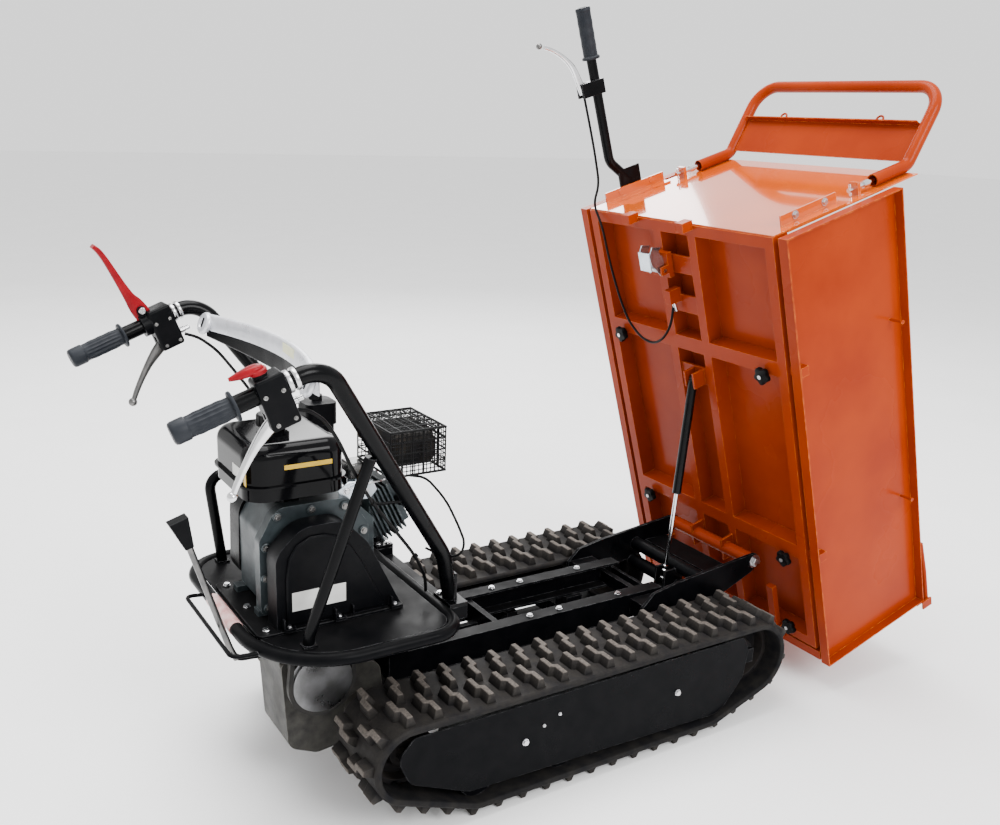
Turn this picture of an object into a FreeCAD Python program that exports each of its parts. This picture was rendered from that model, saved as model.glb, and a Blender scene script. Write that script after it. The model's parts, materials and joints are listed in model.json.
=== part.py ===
import FreeCAD, Part
import math
import os
import re
from types import SimpleNamespace
from FreeCAD import Placement, Rotation, Vector

# Tracked mini dumper (power barrow), tray tipped. Millimetres. +X is forward, towards the tray,
# +Y is the operator's left, +Z is up. The origin is on the ground, midway between the tracks.

DIMENSIONS = [
    # rubber tracks
    ("track_gauge", 516), ("belt_width", 180), ("belt_thick", 14), ("lug_height", 20),
    ("lug_count", 40), ("lug_length", 26), ("lug_row_width", 76),
    ("sprocket_x", -466), ("sprocket_z", 165), ("sprocket_loop_radius", 82),
    ("idler_x", 420), ("idler_z", 157), ("idler_loop_radius", 90),
    ("roller_rear_x", -313), ("roller_front_x", 293), ("roller_loop_radius", 56),
    ("running_gap", 1.5), ("shaft_radius", 14), ("axle_fit", 0.06),
    ("cover_y", 331.5), ("cover_thick", 3), ("beam_size", 50),
    # chassis
    ("rail_y", 100), ("rail_depth", 60), ("rail_top", 262), ("rail_rear_x", -400),
    ("rail_front_x", 330), ("rail_wall", 5), ("rail_flange", 34),
    ("pivot_x", 581), ("pivot_z", 300), ("pivot_plate_y", 146), ("pivot_plate_thick", 8),
    ("pivot_pin_radius", 11), ("cross_tube_radius", 17),
    # engine deck
    ("deck_z", 395), ("deck_thick", 4), ("rim_radius", 13),
    ("deck_rear_x", -712), ("deck_front_x", -330), ("deck_right_y", -285), ("deck_left_y", 262),
    # engine
    ("crank_x", -560), ("crank_z", 505), ("belt_plane_y", -127), ("engine_pulley_radius", 38),
    ("gearbox_pulley_z", 262), ("gearbox_pulley_radius", 62), ("drive_belt_thick", 9),
    ("belt_cover_y", -150), ("belt_cover_depth", 48),
    ("tank_z", 648), ("tank_height", 104), ("tank_seam_height", 25), ("tank_cap_radius", 31),
    # handles
    ("handle_radius", 15.5), ("handle_wall", 2.5), ("stay_radius", 11), ("grip_radius", 19),
    # tray, in its own frame: level, with the tipping axis as origin
    ("tray_tip_angle", 73.12), ("tray_rear_x", -850), ("tray_front_x", 205),
    ("frame_half_width", 312), ("frame_bottom", 23), ("frame_depth", 42), ("frame_wall", 26),
    ("floor_thick", 2), ("wall_top", 373), ("rear_wall_top", 470), ("sheet_thick", 3),
    ("side_outer_y", 351), ("side_rim", 25), ("side_front_x", 240),
    ("slide_rear_x", -548), ("slide_front_x", -70), ("slide_size", 22),
    ("hoop_radius", 14), ("hoop_half_width", 280), ("hoop_bend_z", 474), ("hoop_rise", 137),
    # gas strut: its lower pin on the chassis, its upper pin on the tray
    ("strut_y", -15), ("strut_foot_x", 414), ("strut_foot_z", 232),
    ("strut_top_x", -468), ("strut_top_z", 8),
    ("strut_radius", 11), ("strut_rod_radius", 5), ("strut_body_length", 292),
]
NAMES = {name for name, value in DIMENSIONS}

doc = FreeCAD.newDocument("mini_dumper")
sheet = doc.addObject("Spreadsheet::Sheet", "Dims")
for row, (name, value) in enumerate(DIMENSIONS, 1):
    sheet.set("A%d" % row, name)
    sheet.set("B%d" % row, str(value))
    sheet.setAlias("B%d" % row, name)
doc.recompute()
d = SimpleNamespace(**{name: float(sheet.get(name)) for name in NAMES})

X_AXIS, Y_AXIS, Z_AXIS = Vector(1, 0, 0), Vector(0, 1, 0), Vector(0, 0, 1)
TURNS = {"X": Rotation(Y_AXIS, 90), "Y": Rotation(X_AXIS, -90), "Z": Rotation()}
NODES = []


# ---------- helpers: sizes bound to the sheet ----------
def linked(text):
    return re.sub(r"[a-z_]+", lambda m: "Dims." + m.group(0) if m.group(0) in NAMES else m.group(0), text)


def bind(obj, prop, value):
    if isinstance(value, str):
        obj.setExpression(prop, linked(value))
        return
    target, _, leaf = prop.rpartition(".")
    if target == "Placement.Base":
        base = obj.Placement.Base
        setattr(base, leaf, value)
        obj.Placement = Placement(base, obj.Placement.Rotation)
    else:
        setattr(obj, prop, value)


def place(obj, at, rotation=None):
    obj.Placement = Placement(Vector(), rotation or Rotation())
    for leaf, value in zip("xyz", at):
        bind(obj, "Placement.Base." + leaf, value)
    return obj


def box(name, size, at, rotation=None):
    obj = doc.addObject("Part::Box", name)
    for prop, value in zip(("Length", "Width", "Height"), size):
        bind(obj, prop, value)
    return place(obj, at, rotation)


def cylinder(name, radius, length, at, axis="Z"):
    obj = doc.addObject("Part::Cylinder", name)
    bind(obj, "Radius", radius)
    bind(obj, "Height", length)
    return place(obj, at, TURNS[axis])


def fuse(name, *shapes):
    obj = doc.addObject("Part::MultiFuse", name)
    obj.Shapes = list(shapes)
    return obj


def cut(name, base, *tools):
    obj = doc.addObject("Part::Cut", name)
    obj.Base = base
    obj.Tool = tools[0] if len(tools) == 1 else fuse(name + "_tools", *tools)
    return obj


def group(name, *shapes):
    obj = doc.addObject("Part::Compound", name)
    obj.Links = list(shapes)
    return obj


def feature(name, shape):
    obj = doc.addObject("Part::Feature", name)
    obj.Shape = shape
    return obj


def node(obj, label, placement=None):
    obj.Label = label
    if placement is not None:
        obj.Placement = placement.multiply(obj.Placement)
    NODES.append(obj)
    return obj


# ---------- helpers: outlines, plates and tubes ----------
def rounded(points):
    """Line and arc edges of a closed 2D outline; each point is (x, y, corner radius)."""
    count = len(points)
    spots = [Vector(x, y, 0) for x, y, radius in points]
    ends = []
    for i, (x, y, radius) in enumerate(points):
        back = (spots[i - 1] - spots[i]).normalize()
        ahead = (spots[(i + 1) % count] - spots[i]).normalize()
        half = back.getAngle(ahead) / 2
        reach = radius / math.tan(half) if radius else 0
        middle = spots[i]
        if radius:
            inward = (back + ahead).normalize()
            middle = spots[i] + inward * (radius / math.sin(half) - radius)
        ends.append((spots[i] + back * reach, middle, spots[i] + ahead * reach))
    edges = []
    for i, (start, middle, end) in enumerate(ends):
        if points[i][2]:
            edges.append(Part.Arc(start, middle, end))
        following = ends[(i + 1) % count][0]
        if (following - end).Length > 1e-6:
            edges.append(Part.LineSegment(end, following))
    return edges


def origin_plane(body, role):
    return [item for item in body.Origin.OriginFeatures if item.Role == role][0]


def plate(name, role, outline, start, thickness, holes=()):
    """A sketched plate, padded from `start` along +Z (XY) or +X (YZ), or +Y (XZ)."""
    body = doc.addObject("PartDesign::Body", name)
    sketch = body.newObject("Sketcher::SketchObject", name + "_sketch")
    sketch.AttachmentSupport = [(origin_plane(body, role), "")]
    sketch.MapMode = "FlatFace"
    sketch.addGeometry(rounded(outline), False)
    for x, y, radius in holes:
        sketch.addGeometry(Part.Circle(Vector(x, y, 0), Z_AXIS, radius), False)
    if role == "XZ_Plane":
        offset = "-(%s) - (%s)" % (start, thickness)
    else:
        offset = "%s" % start
    sketch.setExpression("AttachmentOffset.Base.z", linked(offset))
    pad = body.newObject("PartDesign::Pad", name + "_pad")
    pad.Profile = sketch
    pad.setExpression("Length", linked(str(thickness)))
    body.Tip = pad
    return body


def bent_wire(points, radii):
    """Straight runs between the points, joined by tangent arcs of the given radii."""
    edges = []
    start = points[0]
    for i in range(1, len(points) - 1):
        back = (points[i - 1] - points[i]).normalize()
        ahead = (points[i + 1] - points[i]).normalize()
        half = back.getAngle(ahead) / 2
        reach = radii[i - 1] / math.tan(half)
        inward = (back + ahead).normalize()
        first = points[i] + back * reach
        last = points[i] + ahead * reach
        middle = points[i] + inward * (radii[i - 1] / math.sin(half) - radii[i - 1])
        edges.append(Part.LineSegment(start, first).toShape())
        edges.append(Part.Arc(first, middle, last).toShape())
        start = last
    edges.append(Part.LineSegment(start, points[-1]).toShape())
    return Part.Wire(edges)


def pipe(wire, radius):
    first = wire.Edges[0]
    start = first.Vertexes[0].Point
    direction = first.tangentAt(first.FirstParameter)
    ring = Part.Wire([Part.makeCircle(radius, start, direction)])
    return wire.makePipeShell([ring], True, False)


def vectors(points):
    return [Vector(*point) for point in points]


def tube(points, radii, radius, wall=0):
    wire = bent_wire(vectors(points), radii)
    outer = pipe(wire, radius)
    return outer.cut(pipe(wire, radius - wall)) if wall else outer


def cable(points, radius):
    """A held cable: straight runs and tangent arcs as large as the runs allow."""
    spots = vectors(points)
    radii = []
    for i in range(1, len(spots) - 1):
        back = spots[i - 1] - spots[i]
        ahead = spots[i + 1] - spots[i]
        turn = math.pi - back.getAngle(ahead)
        radii.append(0.45 * min(back.Length, ahead.Length) / math.tan(turn / 2))
    wire = bent_wire(spots, radii)
    solid = pipe(wire, radius)
    expected = math.pi * radius ** 2 * wire.Length
    print("cable length %.0f, radii %s, volume ratio %.4f"
          % (wire.Length, [round(r) for r in radii], solid.Volume / expected))
    return solid


def bar(start, end, radius):
    start, end = Vector(*start), Vector(*end)
    return Part.makeCylinder(radius, (end - start).Length, start, end - start)


def block(size, centre, rotation=None):
    shape = Part.makeBox(*size, Vector(-size[0] / 2, -size[1] / 2, -size[2] / 2))
    shape.Placement = Placement(Vector(*centre), rotation or Rotation())
    return shape


def hex_bolt(at, direction, size=6):
    """Washer and hexagon head on the surface at `at`."""
    head_radius = size * 1.05
    corners = [Vector(head_radius * math.cos(math.radians(60 * i)),
                      head_radius * math.sin(math.radians(60 * i)), 1.5) for i in range(7)]
    head = Part.Face(Part.makePolygon(corners)).extrude(Vector(0, 0, size * 0.6))
    washer = Part.makeCylinder(size * 1.25, 1.5)
    shape = head.fuse(washer)
    shape.Placement = Placement(Vector(*at), Rotation(Z_AXIS, Vector(*direction)))
    return shape


# ---------- tracks ----------
def loop_circles(offset):
    spots = [(d.roller_rear_x, d.lug_height + d.roller_loop_radius, d.roller_loop_radius),
             (d.roller_front_x, d.lug_height + d.roller_loop_radius, d.roller_loop_radius),
             (d.idler_x, d.idler_z, d.idler_loop_radius),
             (d.sprocket_x, d.sprocket_z, d.sprocket_loop_radius)]
    return [(Vector(x, 0, z), radius + offset) for x, z, radius in spots]


def loop_normal(first, second):
    """Outward normal of the outer tangent line that runs from one circle to the next."""
    span = second[0] - first[0]
    along = Vector(span).normalize()
    outward = Vector(along.z, 0, -along.x)
    slope = (first[1] - second[1]) / span.Length
    return along * slope + outward * math.sqrt(1 - slope ** 2)


def loop_edges(offset):
    """The closed loop round the wheels, `offset` outside the belt's outer surface."""
    circles = loop_circles(offset)
    count = len(circles)
    normals = [loop_normal(circles[i], circles[(i + 1) % count]) for i in range(count)]
    edges = []
    for i, (centre, radius) in enumerate(circles):
        arriving, leaving = normals[i - 1], normals[i]
        middle = (arriving + leaving).normalize()
        edges.append(Part.Arc(centre + arriving * radius, centre + middle * radius,
                              centre + leaving * radius).toShape())
        after, after_radius = circles[(i + 1) % count]
        edges.append(Part.makeLine(centre + leaving * radius, after + leaving * after_radius))
    return edges


def loop_frame(distance):
    """Point and outward normal on the belt's outer surface at a distance round the loop."""
    edges = loop_edges(0)
    total = sum(edge.Length for edge in edges)
    distance %= total
    for edge in edges:
        if distance <= edge.Length:
            parameter = edge.getParameterByLength(distance)
            tangent = edge.tangentAt(parameter)
            return edge.valueAt(parameter), Vector(tangent.z, 0, -tangent.x)
        distance -= edge.Length
    raise ValueError("distance is outside the loop")


def lug(distance, y_low, y_high):
    point, outward = loop_frame(distance)
    along = Vector(-outward.z, 0, outward.x)
    half = d.lug_length / 2
    crown = half * 0.72
    sunk = 4
    profile = [point + along * half - outward * sunk, point + along * half,
               point + along * crown + outward * d.lug_height,
               point - along * crown + outward * d.lug_height,
               point - along * half, point - along * half - outward * sunk]
    face = Part.Face(Part.makePolygon(profile + profile[:1]))
    face.translate(Vector(0, y_low, 0))
    return face.extrude(Vector(0, y_high - y_low, 0))


def track_belt(label, side):
    centre = side * d.track_gauge / 2
    outer = Part.Face(Part.Wire(loop_edges(0)))
    inner = Part.Face(Part.Wire(loop_edges(-d.belt_thick)))
    ring = outer.cut(inner)
    ring.translate(Vector(0, centre - d.belt_width / 2, 0))
    carcass = ring.extrude(Vector(0, d.belt_width, 0))
    total = sum(edge.Length for edge in loop_edges(0))
    pitch = total / d.lug_count
    lugs = []
    for i in range(int(d.lug_count)):
        for row, phase in ((side, 0.0), (-side, 0.5)):
            low, high = sorted((centre + row * 2, centre + row * (2 + d.lug_row_width)))
            lugs.append(lug((i + phase + 0.25) * pitch, low, high))
    node(feature(label, carcass.fuse(lugs)), label)


def wheel_profile(label, x, z, outer_radius, width, bore, side, teeth=0):
    """A flanged wheel with a recessed web; a sprocket also has round tooth gaps."""
    centre = side * d.track_gauge / 2
    body = doc.addObject("PartDesign::Body", label)
    sketch = body.newObject("Sketcher::SketchObject", label + "_profile")
    sketch.AttachmentSupport = [(origin_plane(body, "YZ_Plane"), "")]
    sketch.MapMode = "FlatFace"
    half = width / 2
    hub = bore + 14
    outline = [(-half, bore, 0), (half, bore, 0), (half, hub, 2), (half * 0.45, hub + 6, 2),
               (half * 0.45, outer_radius - 16, 2), (half, outer_radius - 11, 2),
               (half, outer_radius, 2), (-half, outer_radius, 2),
               (-half, outer_radius - 11, 2), (-half * 0.45, outer_radius - 16, 2),
               (-half * 0.45, hub + 6, 2), (-half, hub, 2)]
    sketch.addGeometry(rounded(outline), False)
    turned = body.newObject("PartDesign::Revolution", label + "_turned")
    turned.Profile = sketch
    turned.ReferenceAxis = (sketch, ["H_Axis"])
    turned.Angle = 360
    body.Tip = turned
    doc.recompute()
    if teeth:
        gap = body.newObject("Sketcher::SketchObject", label + "_gap")
        gap.AttachmentSupport = [(origin_plane(body, "XZ_Plane"), "")]
        gap.MapMode = "FlatFace"
        gap.addGeometry(Part.Circle(Vector(0, outer_radius + 1, 0), Z_AXIS, 9), False)
        pocket = body.newObject("PartDesign::Pocket", label + "_gap_pocket")
        pocket.Profile = gap
        pocket.Type = 1
        pocket.Midplane = True
        doc.recompute()
        pattern = body.newObject("PartDesign::PolarPattern", label + "_gaps")
        pattern.Originals = [pocket]
        pattern.Axis = (origin_plane(body, "Y_Axis"), [""])
        pattern.Angle = 360
        pattern.Occurrences = teeth
        body.Tip = pattern
    body.Placement = Placement(Vector(x, centre, z), Rotation())
    return body


def track_wheels(name, side):
    centre = side * d.track_gauge / 2
    sprocket_radius = d.sprocket_loop_radius - d.belt_thick - d.running_gap
    sprocket = wheel_profile("sprocket_%s_wheel" % name, d.sprocket_x, d.sprocket_z,
                             sprocket_radius, 70, d.shaft_radius - 1, side, teeth=11)
    inner_y = -20 if side > 0 else -40
    outer_y = centre + side * 48
    low, high = sorted((inner_y, outer_y))
    shaft = cylinder("sprocket_%s_shaft" % name, "shaft_radius", high - low,
                     ("sprocket_x", low, "sprocket_z"), "Y")
    node(fuse("sprocket_" + name, sprocket, shaft), "sprocket_" + name)
    idler_radius = d.idler_loop_radius - d.belt_thick - d.running_gap
    node(wheel_profile("idler_" + name, d.idler_x, d.idler_z, idler_radius, 84,
                       d.shaft_radius + d.axle_fit, side), "idler_" + name)


def track_rollers():
    """Eight plain rollers that carry the belts' lower runs; their pins are on the track frames."""
    radius = d.roller_loop_radius - d.belt_thick - d.running_gap
    z = d.lug_height + d.roller_loop_radius
    rollers = []
    for side in (1, -1):
        for i in range(4):
            x = d.roller_rear_x + i * (d.roller_front_x - d.roller_rear_x) / 3
            centre = side * d.track_gauge / 2
            name = "roller_%d_%s" % (i, "l" if side > 0 else "r")
            wheels = [cylinder("%s_%s" % (name, end), radius, 26, (x, y, z), "Y")
                      for end, y in (("in", centre - 62), ("out", centre + 36))]
            wheels.append(cylinder(name + "_barrel", radius - 10, 98, (x, centre - 49, z), "Y"))
            bore = cylinder(name + "_bore", 8.3, 140, (x, centre - 70, z), "Y")
            rollers.append(cut(name, fuse(name + "_solid", *wheels), bore))
    return rollers


def track_frames():
    """Box beams inside the belts, with roller hangers and pins, joined by two cross beams."""
    z_roller = d.lug_height + d.roller_loop_radius
    parts = []
    for side in (1, -1):
        tag = "l" if side > 0 else "r"
        centre = side * d.track_gauge / 2
        parts.append(box("beam_" + tag, (680, "beam_size", "beam_size"),
                         (-350, "%g * track_gauge / 2 - beam_size / 2" % side, 120)))
        for i in range(4):
            x = d.roller_rear_x + i * (d.roller_front_x - d.roller_rear_x) / 3
            parts.append(cylinder("roller_pin_%d_%s" % (i, tag), 8, 144,
                                  (x, centre - 72, z_roller), "Y"))
            for end, y in (("in", centre - 72), ("out", centre + 66)):
                parts.append(box("hanger_%d_%s_%s" % (i, tag, end), (30, 6, 63),
                                 (x - 15, y, z_roller - 15)))
            parts.append(box("hanger_bridge_%d_%s" % (i, tag), (30, 144, 6),
                             (x - 15, centre - 72, 118)))
        parts.append(cylinder("idler_axle_" + tag, "shaft_radius", 122,
                              ("idler_x", centre - 61, "idler_z"), "Y"))
        for end, y in (("in", centre - 61), ("out", centre + 53)):
            parts.append(box("idler_fork_%s_%s" % (tag, end), (140, 8, 34), (294, y, 140)))
        parts.append(box("idler_bridge_" + tag, (24, 122, 34), (306, centre - 61, 140)))
        for i, x in enumerate((-210, 192)):
            low, high = sorted((side * 280, side * 331))
            parts.append(cylinder("cover_standoff_%d_%s" % (i, tag), 9, high - low,
                                  (x, low, 133), "Y"))
    for i, x in enumerate((-255, 165)):
        parts.append(box("cross_beam_%d" % i, (46, "track_gauge - beam_size", 40),
                         (x, "-track_gauge / 2 + beam_size / 2", 125)))
    node(group("track_frames", fuse("track_frame_weldment", *parts), *track_rollers()), "track_frames")


def side_covers():
    outline = [(-462, 219, 14), (383, 221, 14), (402, 186, 30), (393, 119, 40), (343, 58, 40),
               (314, 42, 30), (-339, 60, 40), (-470, 120, 40), (-498, 180, 34)]
    right = plate("side_cover_right", "XZ_Plane", outline, "-cover_y - cover_thick", "cover_thick")
    left = plate("side_cover_left", "XZ_Plane", outline, "cover_y", "cover_thick")
    node(group("side_covers", left, right), "side_covers")


# ---------- chassis ----------
def chassis_rails():
    """Two channels with their flanges inwards, cross ties, and the raised engine subframe."""
    parts = []
    length = "rail_front_x - rail_rear_x"
    for side in (1, -1):
        tag = "l" if side > 0 else "r"
        web_y = "rail_y - rail_wall" if side > 0 else "-rail_y"
        flange_y = "rail_y - rail_flange" if side > 0 else "-rail_y"
        parts.append(box("rail_web_" + tag, (length, "rail_wall", "rail_depth"),
                         ("rail_rear_x", web_y, "rail_top - rail_depth")))
        for end, z in (("top", "rail_top - rail_wall"), ("low", "rail_top - rail_depth")):
            parts.append(box("rail_%s_%s" % (end, tag), (length, "rail_flange", "rail_wall"),
                             ("rail_rear_x", flange_y, z)))
        for end, x in (("rear", -255), ("front", 165)):
            parts.append(box("rail_foot_%s_%s" % (end, tag), (46, 50, 37),
                             (x, side * 80 - 25, 165.2)))
        parts.append(box("riser_" + tag, (44, "rail_wall", 125),
                         ("rail_rear_x", web_y, "rail_top - 10")))
        parts.append(box("subframe_" + tag, (338, "rail_flange", 38),
                         ("deck_rear_x + 22", flange_y, 339)))
        parts.append(box("handle_bearer_" + tag, (40, 70, 19), (-316.6, side * 168 - 35, 375.8)))
    for name, x, width, z, depth in (("rear", -690, 30, 338, 56.8), ("middle", -400, 40, 339, 55.8)):
        parts.append(box("deck_bearer_" + name, (width, 200, depth), (x, -100, z)))
    parts.append(box("handle_cross_bearer", (83.4, 406, 9), (-360, -203, 368)))
    for name, x, depth in (("rear", -398, 55), ("mid", -120, 50), ("front", 296, 32)):
        parts.append(box("rail_tie_" + name, (14, "2 * rail_y - 2 * rail_wall + 2", depth),
                         (x, "-rail_y + rail_wall - 1", 204)))
    parts.append(cylinder("catch_bar", 6, "rail_y - 15", (-186, 12, "rail_top - 24"), "Y"))
    parts.append(box("catch_post", (10, 8, 34), (-191, 12, "rail_top - 52")))
    parts.append(box("catch_foot", (80, 8, 12), (-191, 12, "rail_top - 52")))
    node(fuse("chassis_rails", *parts), "chassis_rails")


PIVOT_TUBES = ((444, 215), (450, 262))


def pivot_plates():
    """Side plates that carry the tray's tipping pins, tied by two round cross tubes and a plate."""
    outline = [(231, 249, 6), (263, 280, 20), (333, 293, 60), (548, 317, 10), (585, 321, 16),
               (606, 300, 12), (576, 272, 24), (484, 234, 60), (350, 205, 60), (231, 205, 6)]
    plates = []
    for side, tag in ((1, "left"), (-1, "right")):
        start = "pivot_plate_y" if side > 0 else "-pivot_plate_y - pivot_plate_thick"
        plates.append(plate("pivot_plate_" + tag, "XZ_Plane", outline, start, "pivot_plate_thick",
                            [(d.pivot_x, d.pivot_z, d.pivot_pin_radius + d.axle_fit)]))
    parts = list(plates)
    for i, (x, z) in enumerate(PIVOT_TUBES):
        parts.append(cylinder("pivot_cross_tube_%d" % i, "cross_tube_radius",
                              "2 * pivot_plate_y + 4", (x, "-pivot_plate_y - 2", z), "Y"))
    parts.append(box("pivot_tie_plate", (8, "2 * pivot_plate_y + 4", 26),
                     (338, "-pivot_plate_y - 2", 206)))
    for i, y in enumerate((-35, -1)):
        parts.append(box("strut_lug_%d" % i, (60, 6, 56), (398, y, 206)))
    parts.append(box("strut_lug_bridge", (130, 40, 6), (340, -35, 206)))
    parts.append(box("pivot_front_plate", (76, "2 * pivot_plate_y + 4", 4), (482, "-pivot_plate_y - 2", 262)))
    parts.append(cylinder("strut_pin", 5, 36, ("strut_foot_x", -33, "strut_foot_z"), "Y"))
    for side in (1, -1):
        low = "rail_y + 0.2" if side > 0 else "-pivot_plate_y - 2"
        parts.append(box("pivot_spacer_%d" % side, (70, "pivot_plate_y - rail_y + 1.8", 40),
                         (236, low, 212)))
    node(fuse("pivot_plates", *parts), "pivot_plates")


def gearbox():
    """Cast transmission housing with axle bosses and a raised input boss."""
    housing = plate("gearbox_casting", "XZ_Plane",
                    [(-632, 300, 14), (-590, 312, 14), (-420, 250, 22), (-408, 150, 30),
                     (-440, 96, 30), (-560, 82, 30), (-620, 110, 30)], "-96", "136")
    bosses = []
    for side in (1, -1):
        low = 38 if side > 0 else -138
        bosses.append(cylinder("axle_boss_%d" % side, 34, 44, ("sprocket_x", low, "sprocket_z"), "Y"))
    bosses.append(cylinder("input_boss", 30, 30, ("crank_x", -114, "gearbox_pulley_z"), "Y"))
    ribs = [box("gearbox_rib_%d" % i, (8, 142, 20), (-618 + 36 * i, -99, 290 - 8 * i)) for i in range(4)]
    ribs.append(box("shift_ear", (6, 26, 44), (-632, -88, 290)))
    ribs.append(cylinder("shift_pin", 5, 34, (-662, -75, 322), "X"))
    ribs += [box("gearbox_hanger_%d" % i, (44, 8, 58), (-560, y, 278)) for i, y in enumerate((-96, 32))]
    ribs.append(box("gearbox_hanger_bar", (44, 190, 6), (-560, -95, 332.8)))
    solid = fuse("gearbox_solid", housing, *bosses, *ribs)
    bores = [cylinder("axle_bore", "shaft_radius + axle_fit", 300,
                      ("sprocket_x", -150, "sprocket_z"), "Y"),
             cylinder("input_bore", "10 + axle_fit", 40, ("crank_x", -124, "gearbox_pulley_z"), "Y")]
    node(cut("gearbox", solid, *bores), "gearbox")


# ---------- engine deck and engine ----------
def deck_outline(inset):
    return [(d.deck_rear_x + inset, d.deck_right_y + inset, 175 - inset),
            (d.deck_front_x - inset, d.deck_right_y + inset, 60 - inset),
            (d.deck_front_x - inset, d.deck_left_y - inset, 75 - inset),
            (d.deck_rear_x + inset, d.deck_left_y - inset, 90 - inset)]


def engine_deck():
    """Pressed deck plate inside a bent tube rim, with the gear lever's guard loop."""
    edges = [edge.toShape() for edge in rounded(deck_outline(0))]
    rim_wire = Part.Wire(Part.__sortEdges__(edges))
    rim_wire.translate(Vector(0, 0, d.deck_z - 4))
    rim = pipe(rim_wire, d.rim_radius)
    deck = plate("deck_plate", "XY_Plane", deck_outline(d.rim_radius + 0.2), "deck_z", "deck_thick")
    slot = box("deck_belt_slot", (150, 26, 20), (d.crank_x - 75, d.belt_plane_y - 13, "deck_z - 5"))
    guard = tube([(-722, 100, 388), (-756, 100, 392), (-756, -186, 392), (-700, -186, 388)],
                 [16, 16], 4)
    plate_with_slot = cut("deck_plate_slotted", deck, slot)
    node(group("engine_deck", plate_with_slot, feature("deck_rim", rim),
               feature("lever_guard", guard)), "engine_deck")


def engine_base():
    body = plate("engine_base_plate", "XY_Plane",
                 [(-696, -160, 12), (-395, -160, 12), (-395, 104, 12), (-696, 104, 12)],
                 "deck_z + deck_thick + 0.1", "6")
    slot = box("base_belt_slot", (150, 26, 20), (d.crank_x - 75, d.belt_plane_y - 13, "deck_z"))
    node(cut("engine_base", body, slot), "engine_base")


def crankcase():
    """Cast crankcase with its side cover flange, mounting feet and a front cylinder seat."""
    main = plate("crankcase_casting", "XZ_Plane",
                 [(-650, 412, 10), (-450, 412, 10), (-418, 470, 12), (-418, 560, 12),
                  (-470, 612, 26), (-620, 612, 30), (-650, 560, 24)], "-62", "130")
    cover = plate("crankcase_cover", "XZ_Plane",
                  [(-664, 410, 10), (-462, 410, 10), (-440, 470, 20), (-440, 560, 34),
                   (-480, 622, 34), (-630, 622, 34), (-664, 560, 24)], "-86", "26")
    feet = [box("engine_foot_%d" % i, (46, 24, 12), (x, y, 405.2))
            for i, (x, y) in enumerate(((-668, -80), (-668, 44), (-462, -80), (-462, 44)))]
    boss = cylinder("crank_boss", 34, 8, ("crank_x", -93, "crank_z"), "Y")
    bore = cylinder("crank_bore", "12.5 + axle_fit", 60, ("crank_x", -120, "crank_z"), "Y")
    node(cut("crankcase", fuse("crankcase_solid", main, cover, boss, *feet), bore), "crankcase")


CYLINDER_TILT = 25


def cylinder_block():
    """Finned cylinder and head, inclined forwards from the crankcase."""
    parts = [block((76, 88, 88), (38, 0, 0))]
    for i in range(7):
        parts.append(block((3.2, 118, 110), (13 + i * 9, 0, 0)))
    parts.append(block((13, 96, 92), (77, 0, 0)))
    solid = parts[0].multiFuse(parts[1:])
    solid.Placement = Placement(Vector(-425, 2, 545), Rotation(Y_AXIS, -CYLINDER_TILT))
    trim = Part.makeBox(60, 300, 400, Vector(-477.8, -150, 380))
    node(feature("cylinder", solid.cut(trim)), "cylinder")


TANK_NECK = (-600, 0)


def tank_shell():
    """Rounded fuel tank: a lower tray, a welded seam and a domed upper shell."""
    z = d.tank_z
    outline = [(-690, -116, 42), (-496, -116, 36), (-496, 98, 36), (-690, 98, 42)]
    seam_outline = [(x + (6 if x > -600 else -6), y + (6 if y > 0 else -6), r + 4)
                    for x, y, r in outline]
    seam = Part.Face(Part.Wire([edge.toShape() for edge in rounded(seam_outline)]))
    seam = seam.extrude(Vector(0, 0, 4))
    upper = Part.Face(Part.Wire([edge.toShape() for edge in rounded(outline)]))
    upper = upper.extrude(Vector(0, 0, d.tank_height))
    rounded_edges = [edge for edge in upper.Edges
                     if abs(edge.BoundBox.ZMin - d.tank_height) < 1 and edge.BoundBox.ZLength < 1]
    upper = upper.makeFillet(26, rounded_edges)
    shell = upper.fuse(seam.translated(Vector(0, 0, d.tank_seam_height)))
    neck = Part.makeCylinder(24, 12, Vector(*TANK_NECK, d.tank_height - 4))
    shell = shell.fuse(neck)
    shell.translate(Vector(0, 0, z))
    mounts = [Part.makeBox(30, 30, 60, Vector(x, y, z - 35.5)) for x, y in ((-600, -50), (-600, 30))]
    return shell.fuse(mounts)


def fuel_tank():
    node(feature("fuel_tank", tank_shell()), "fuel_tank")
    cap = Part.makeCylinder(d.tank_cap_radius, 22, Vector(*TANK_NECK, d.tank_z + d.tank_height + 8.4))
    cap = cap.makeFillet(4, [edge for edge in cap.Edges if edge.BoundBox.ZMin > cap.BoundBox.ZMax - 1])
    grooves = []
    for i in range(18):
        angle = math.radians(20 * i)
        spot = Vector(TANK_NECK[0] + d.tank_cap_radius * math.cos(angle),
                      TANK_NECK[1] + d.tank_cap_radius * math.sin(angle), d.tank_z + d.tank_height)
        grooves.append(Part.makeCylinder(2.2, 60, spot))
    node(feature("fuel_cap", cap.cut(grooves)), "fuel_cap")


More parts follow.
